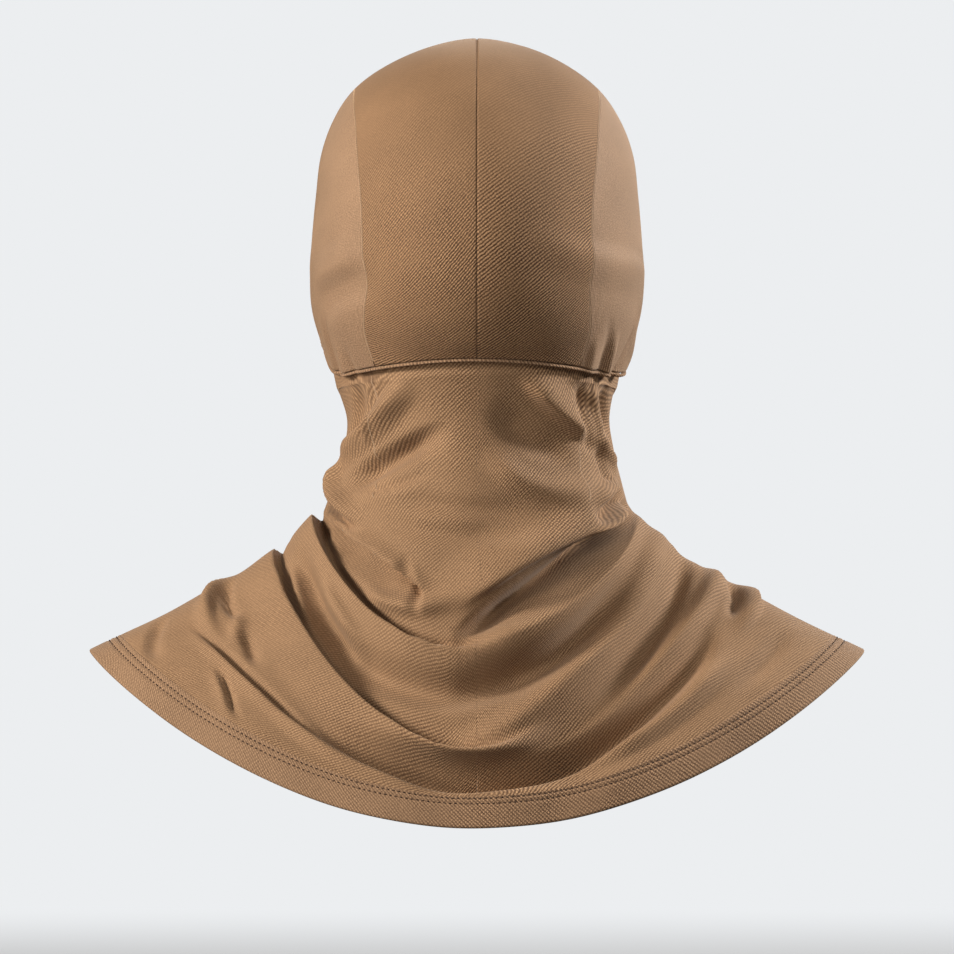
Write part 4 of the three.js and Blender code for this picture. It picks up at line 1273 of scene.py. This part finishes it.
def stitch_row(name, place, turn, level, rise, stitch, material, sign=1):
    """Stitches at equal steps along turns and levels of a piece, out of its surface by a rise:
    each is a spindle whose radius follows √(1-t²) along it. The sign gives the way of the slant."""
    normals = outwards(turn, level)
    line = place(turn, level) + normals * np.broadcast_to(rise, turn.shape)[:, None]
    slant = np.radians(sign * stitch.slant)
    run = steps_along(line, 0)
    count = int(run[-1] / stitch.spacing)
    at = (np.arange(count) + 0.5) * run[-1] / count
    centre = at_lengths(line, run, at)
    ahead = unit(at_lengths(line, run, at + HEADING_STEP) - at_lengths(line, run, at - HEADING_STEP))
    normal = unit(at_lengths(normals, run, at))
    sideways = np.cross(normal, ahead)
    along = ahead * np.cos(slant) + sideways * np.sin(slant)
    across = np.cross(normal, along)[:, None, None]
    out = normal[:, None, None]
    t = -np.cos(np.pi * np.linspace(0, 1, STITCH_RINGS + 2))
    angle = 2 * np.pi * np.arange(STITCH_SIDES) / STITCH_SIDES
    half_length = stitch.length / 2
    half_width = stitch.width / 2
    radius = np.maximum(np.sqrt(1 - t**2), STITCH_TIP)[:, None, None] * half_width
    ring = across * np.cos(angle)[:, None] + out * np.sin(angle)[:, None]
    middle = centre[:, None, None] + along[:, None, None] * t[:, None, None] * half_length
    points = (middle + ring * radius).reshape(-1, 3)
    stitch_faces = grid_faces(STITCH_RINGS + 1, STITCH_SIDES, STITCH_SIDES)
    stitch_points = (STITCH_RINGS + 2) * STITCH_SIDES
    faces = (stitch_faces + np.arange(count)[:, None, None] * stitch_points).reshape(-1, 4)
    uv = np.stack(np.broadcast_arrays(t[:, None] * half_length, angle * half_width), axis=-1)
    row = make_mesh(name, points, faces, np.tile(uv.reshape(-1, 2), (count, 1)), material)
    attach(row, "root")


dark_thread = thread("dark_thread", (62, 38, 20))
light_thread = thread("light_thread", (186, 155, 124))
HEM_THREAD_RISE = 0.05 * MM
HEM_THREAD_PLACES = 2880
turn = np.linspace(-HALF_TURN, HALF_TURN, HEM_THREAD_PLACES)
for k, distance in enumerate(STITCH_ROWS):
    level = hem_level(turn, distance)
    rise = hem_rise(turn, level) + HEM_THREAD_RISE
    stitch_row("hem_stitches_" + str(k + 1), neck_place, turn, level, rise, HEM_STITCH, dark_thread)

# The seams down both sides of the neck, by level, with their turn
NECK_SEAM = np.array([
    (1.02, 50),
    (1.09, 47.5),
    (1.14, 48.5),
    (1.205, 50),
    (1.265, 48),
    (1.32, 45),
])
SEAM_START = 0.01
SEAM_END = 0.99
SEAM_PLACES = 900
SEAM_THREAD_DEPTH = 0.2 * MM
NECK_SEAM_PLACES = 300
seam_places = seam_of_hood(np.linspace(SEAM_START, SEAM_END, SEAM_PLACES))
for side, sign in LEFT_AND_RIGHT:
    name = "side_seam_stitches_" + side
    turn = sign * turn_of(seam_places)
    level = level_of(seam_places)
    stitch_row(name, hood_place, turn, level, -SEAM_THREAD_DEPTH, SEAM_STITCH, light_thread, sign)
for side, sign in LEFT_AND_RIGHT:
    name = "neck_seam_stitches_" + side
    level = np.linspace(NECK_SEAM[0, 0], NECK_SEAM[-1, 0], NECK_SEAM_PLACES)
    turn = sign * smooth_column(NECK_SEAM, 1, level)
    rise = lap_rise(turn, level)
    stitch_row(name, neck_place, turn, level, rise, SEAM_STITCH, light_thread, sign)

# One row along the binding and one along the mask's edge, near the upper rim of the binding and
# the lower rim of the mask's edge
ROW_INSET = 1.8 * MM
turn = binding_turns
level = band_line(turn, ROW_INSET)
stitch_row("binding_stitches", hood_place, turn, level, EDGE_PROUD, EDGE_STITCH, light_thread)
turn = mask_turns
level = mask_line(turn, ROW_INSET)
rise = lap_rise(turn, level)
stitch_row("mask_stitches", neck_place, turn, level, rise, EDGE_STITCH, light_thread)

# The floor and the backdrop: a wide pale disc below the cloth, which fades away from its middle
# into the light of the plain pale dome round it.
FLOOR_HEIGHT = -0.5
FLOOR_RADIUS = 12
DOME_RADIUS = 20
FADE_START = 0.9
FADE_END = 3.2
PALE = (236, 238, 240)
FLOOR_GREY = (0.36, 0.365, 0.37, 1.0)
FLOOR_SIDES = 96
DOME_SEGMENTS = 48
DOME_RINGS = 24


def glowing_material(name):
    """A material of even pale light, with its tree, its light and the input for its surface."""
    material, tree, _ = new_material(name)
    tree.nodes.clear()
    light = add_node(tree, "ShaderNodeEmission", {"Color": linear(*PALE)}).outputs[0]
    surface = add_node(tree, "ShaderNodeOutputMaterial", {"Surface": light}).inputs["Surface"]
    return material, tree, light, surface


dome_material = glowing_material("pale_dome")[0]
floor_material, floor_tree, floor_light, floor_surface = glowing_material("pale_floor")
matte = add_node(floor_tree, "ShaderNodeBsdfDiffuse", {"Color": FLOOR_GREY}).outputs[0]
from_middle = {0: object_place(floor_tree)}
distance = add_node(floor_tree, "ShaderNodeVectorMath", from_middle, operation="LENGTH").outputs["Value"]
fade_range = {"Value": distance, "From Min": FADE_START, "From Max": FADE_END}
fade = add_node(floor_tree, "ShaderNodeMapRange", fade_range, interpolation_type="SMOOTHSTEP").outputs[0]
blend = add_node(floor_tree, "ShaderNodeMixShader", {0: fade, 1: matte, 2: floor_light}).outputs[0]
floor_tree.links.new(blend, floor_surface)

bpy.ops.mesh.primitive_circle_add(
    vertices=FLOOR_SIDES,
    radius=FLOOR_RADIUS,
    fill_type="NGON",
    location=(0, 0, FLOOR_HEIGHT),
)
floor = bpy.context.object
floor.name = "floor"
floor.data.materials.append(floor_material)
bpy.ops.mesh.primitive_uv_sphere_add(segments=DOME_SEGMENTS, ring_count=DOME_RINGS, radius=DOME_RADIUS)
dome = bpy.context.object
dome.name = "dome"
dome.data.materials.append(dome_material)
dome.visible_shadow = False
for backdrop in (floor, dome):
    backdrop.visible_diffuse = False
    backdrop.visible_glossy = False
    backdrop.visible_transmission = False

# Soft studio light: a warm panel at the upper left with a weaker one low beside it, a paler one at
# the right that grazes the cloth, weak ones near the camera and in front of the face, and an even
# glow all round. Left and right are those of the camera's view.
GLOW = (1.0, 0.92, 0.84, 1.0)
GLOW_STRENGTH = 0.145
LIGHTS = [
    # name, place, aim, side, power, colour
    ("left_panel", (2.4, 0.95, 0.8), (0, 0, -0.2), 0.6, 98, (1.0, 0.92, 0.82)),
    ("left_low_panel", (1.9, 1.5, -0.1), (0, 0, -0.25), 0.6, 23, (1.0, 0.92, 0.82)),
    ("right_panel", (-2.4, -0.5, 1.0), (0, 0, -0.2), 0.6, 112, (1.0, 0.96, 0.91)),
    ("top_panel", (-0.5, 2.4, 0.9), (0, 0, -0.25), 0.8, 24, (1.0, 0.96, 0.9)),
    ("front_panel", (-0.6, -2.6, 1.3), (0, 0, -0.15), 1.6, 20, (0.97, 0.98, 1.0)),
]
world = bpy.data.worlds.new("studio")
world.use_nodes = True
glow = world.node_tree.nodes["Background"]
glow.inputs["Color"].default_value = GLOW
glow.inputs["Strength"].default_value = GLOW_STRENGTH
bpy.context.scene.world = world


def towards(place, aim):
    """The turn that points an object's -Z from one place to another, with +Y up."""
    return (Vector(aim) - Vector(place)).to_track_quat("-Z", "Y").to_euler()


for name, place, aim, side, power, colour in LIGHTS:
    panel_light = bpy.data.lights.new(name, "AREA")
    panel_light.size = side
    panel_light.energy = power
    panel_light.color = colour
    lamp = bpy.data.objects.new(name, panel_light)
    lamp.location = place
    lamp.rotation_euler = towards(place, aim)
    bpy.context.scene.collection.objects.link(lamp)

# The camera stands level behind the hood and far away, so that the view is nearly flat.
CAMERA_DISTANCE = 8
CAMERA_HEIGHT = -0.21
VIEW_WIDTH = 0.4598
SENSOR = 36
camera_data = bpy.data.cameras.new("camera")
camera_data.sensor_width = SENSOR
camera_data.lens = SENSOR * CAMERA_DISTANCE / VIEW_WIDTH
camera = bpy.data.objects.new("camera", camera_data)
camera.location = (0, CAMERA_DISTANCE, CAMERA_HEIGHT)
camera.rotation_euler = towards(camera.location, (0, 0, CAMERA_HEIGHT))
bpy.context.scene.collection.objects.link(camera)
bpy.context.scene.camera = camera
bpy.context.scene.view_settings.view_transform = "Standard"
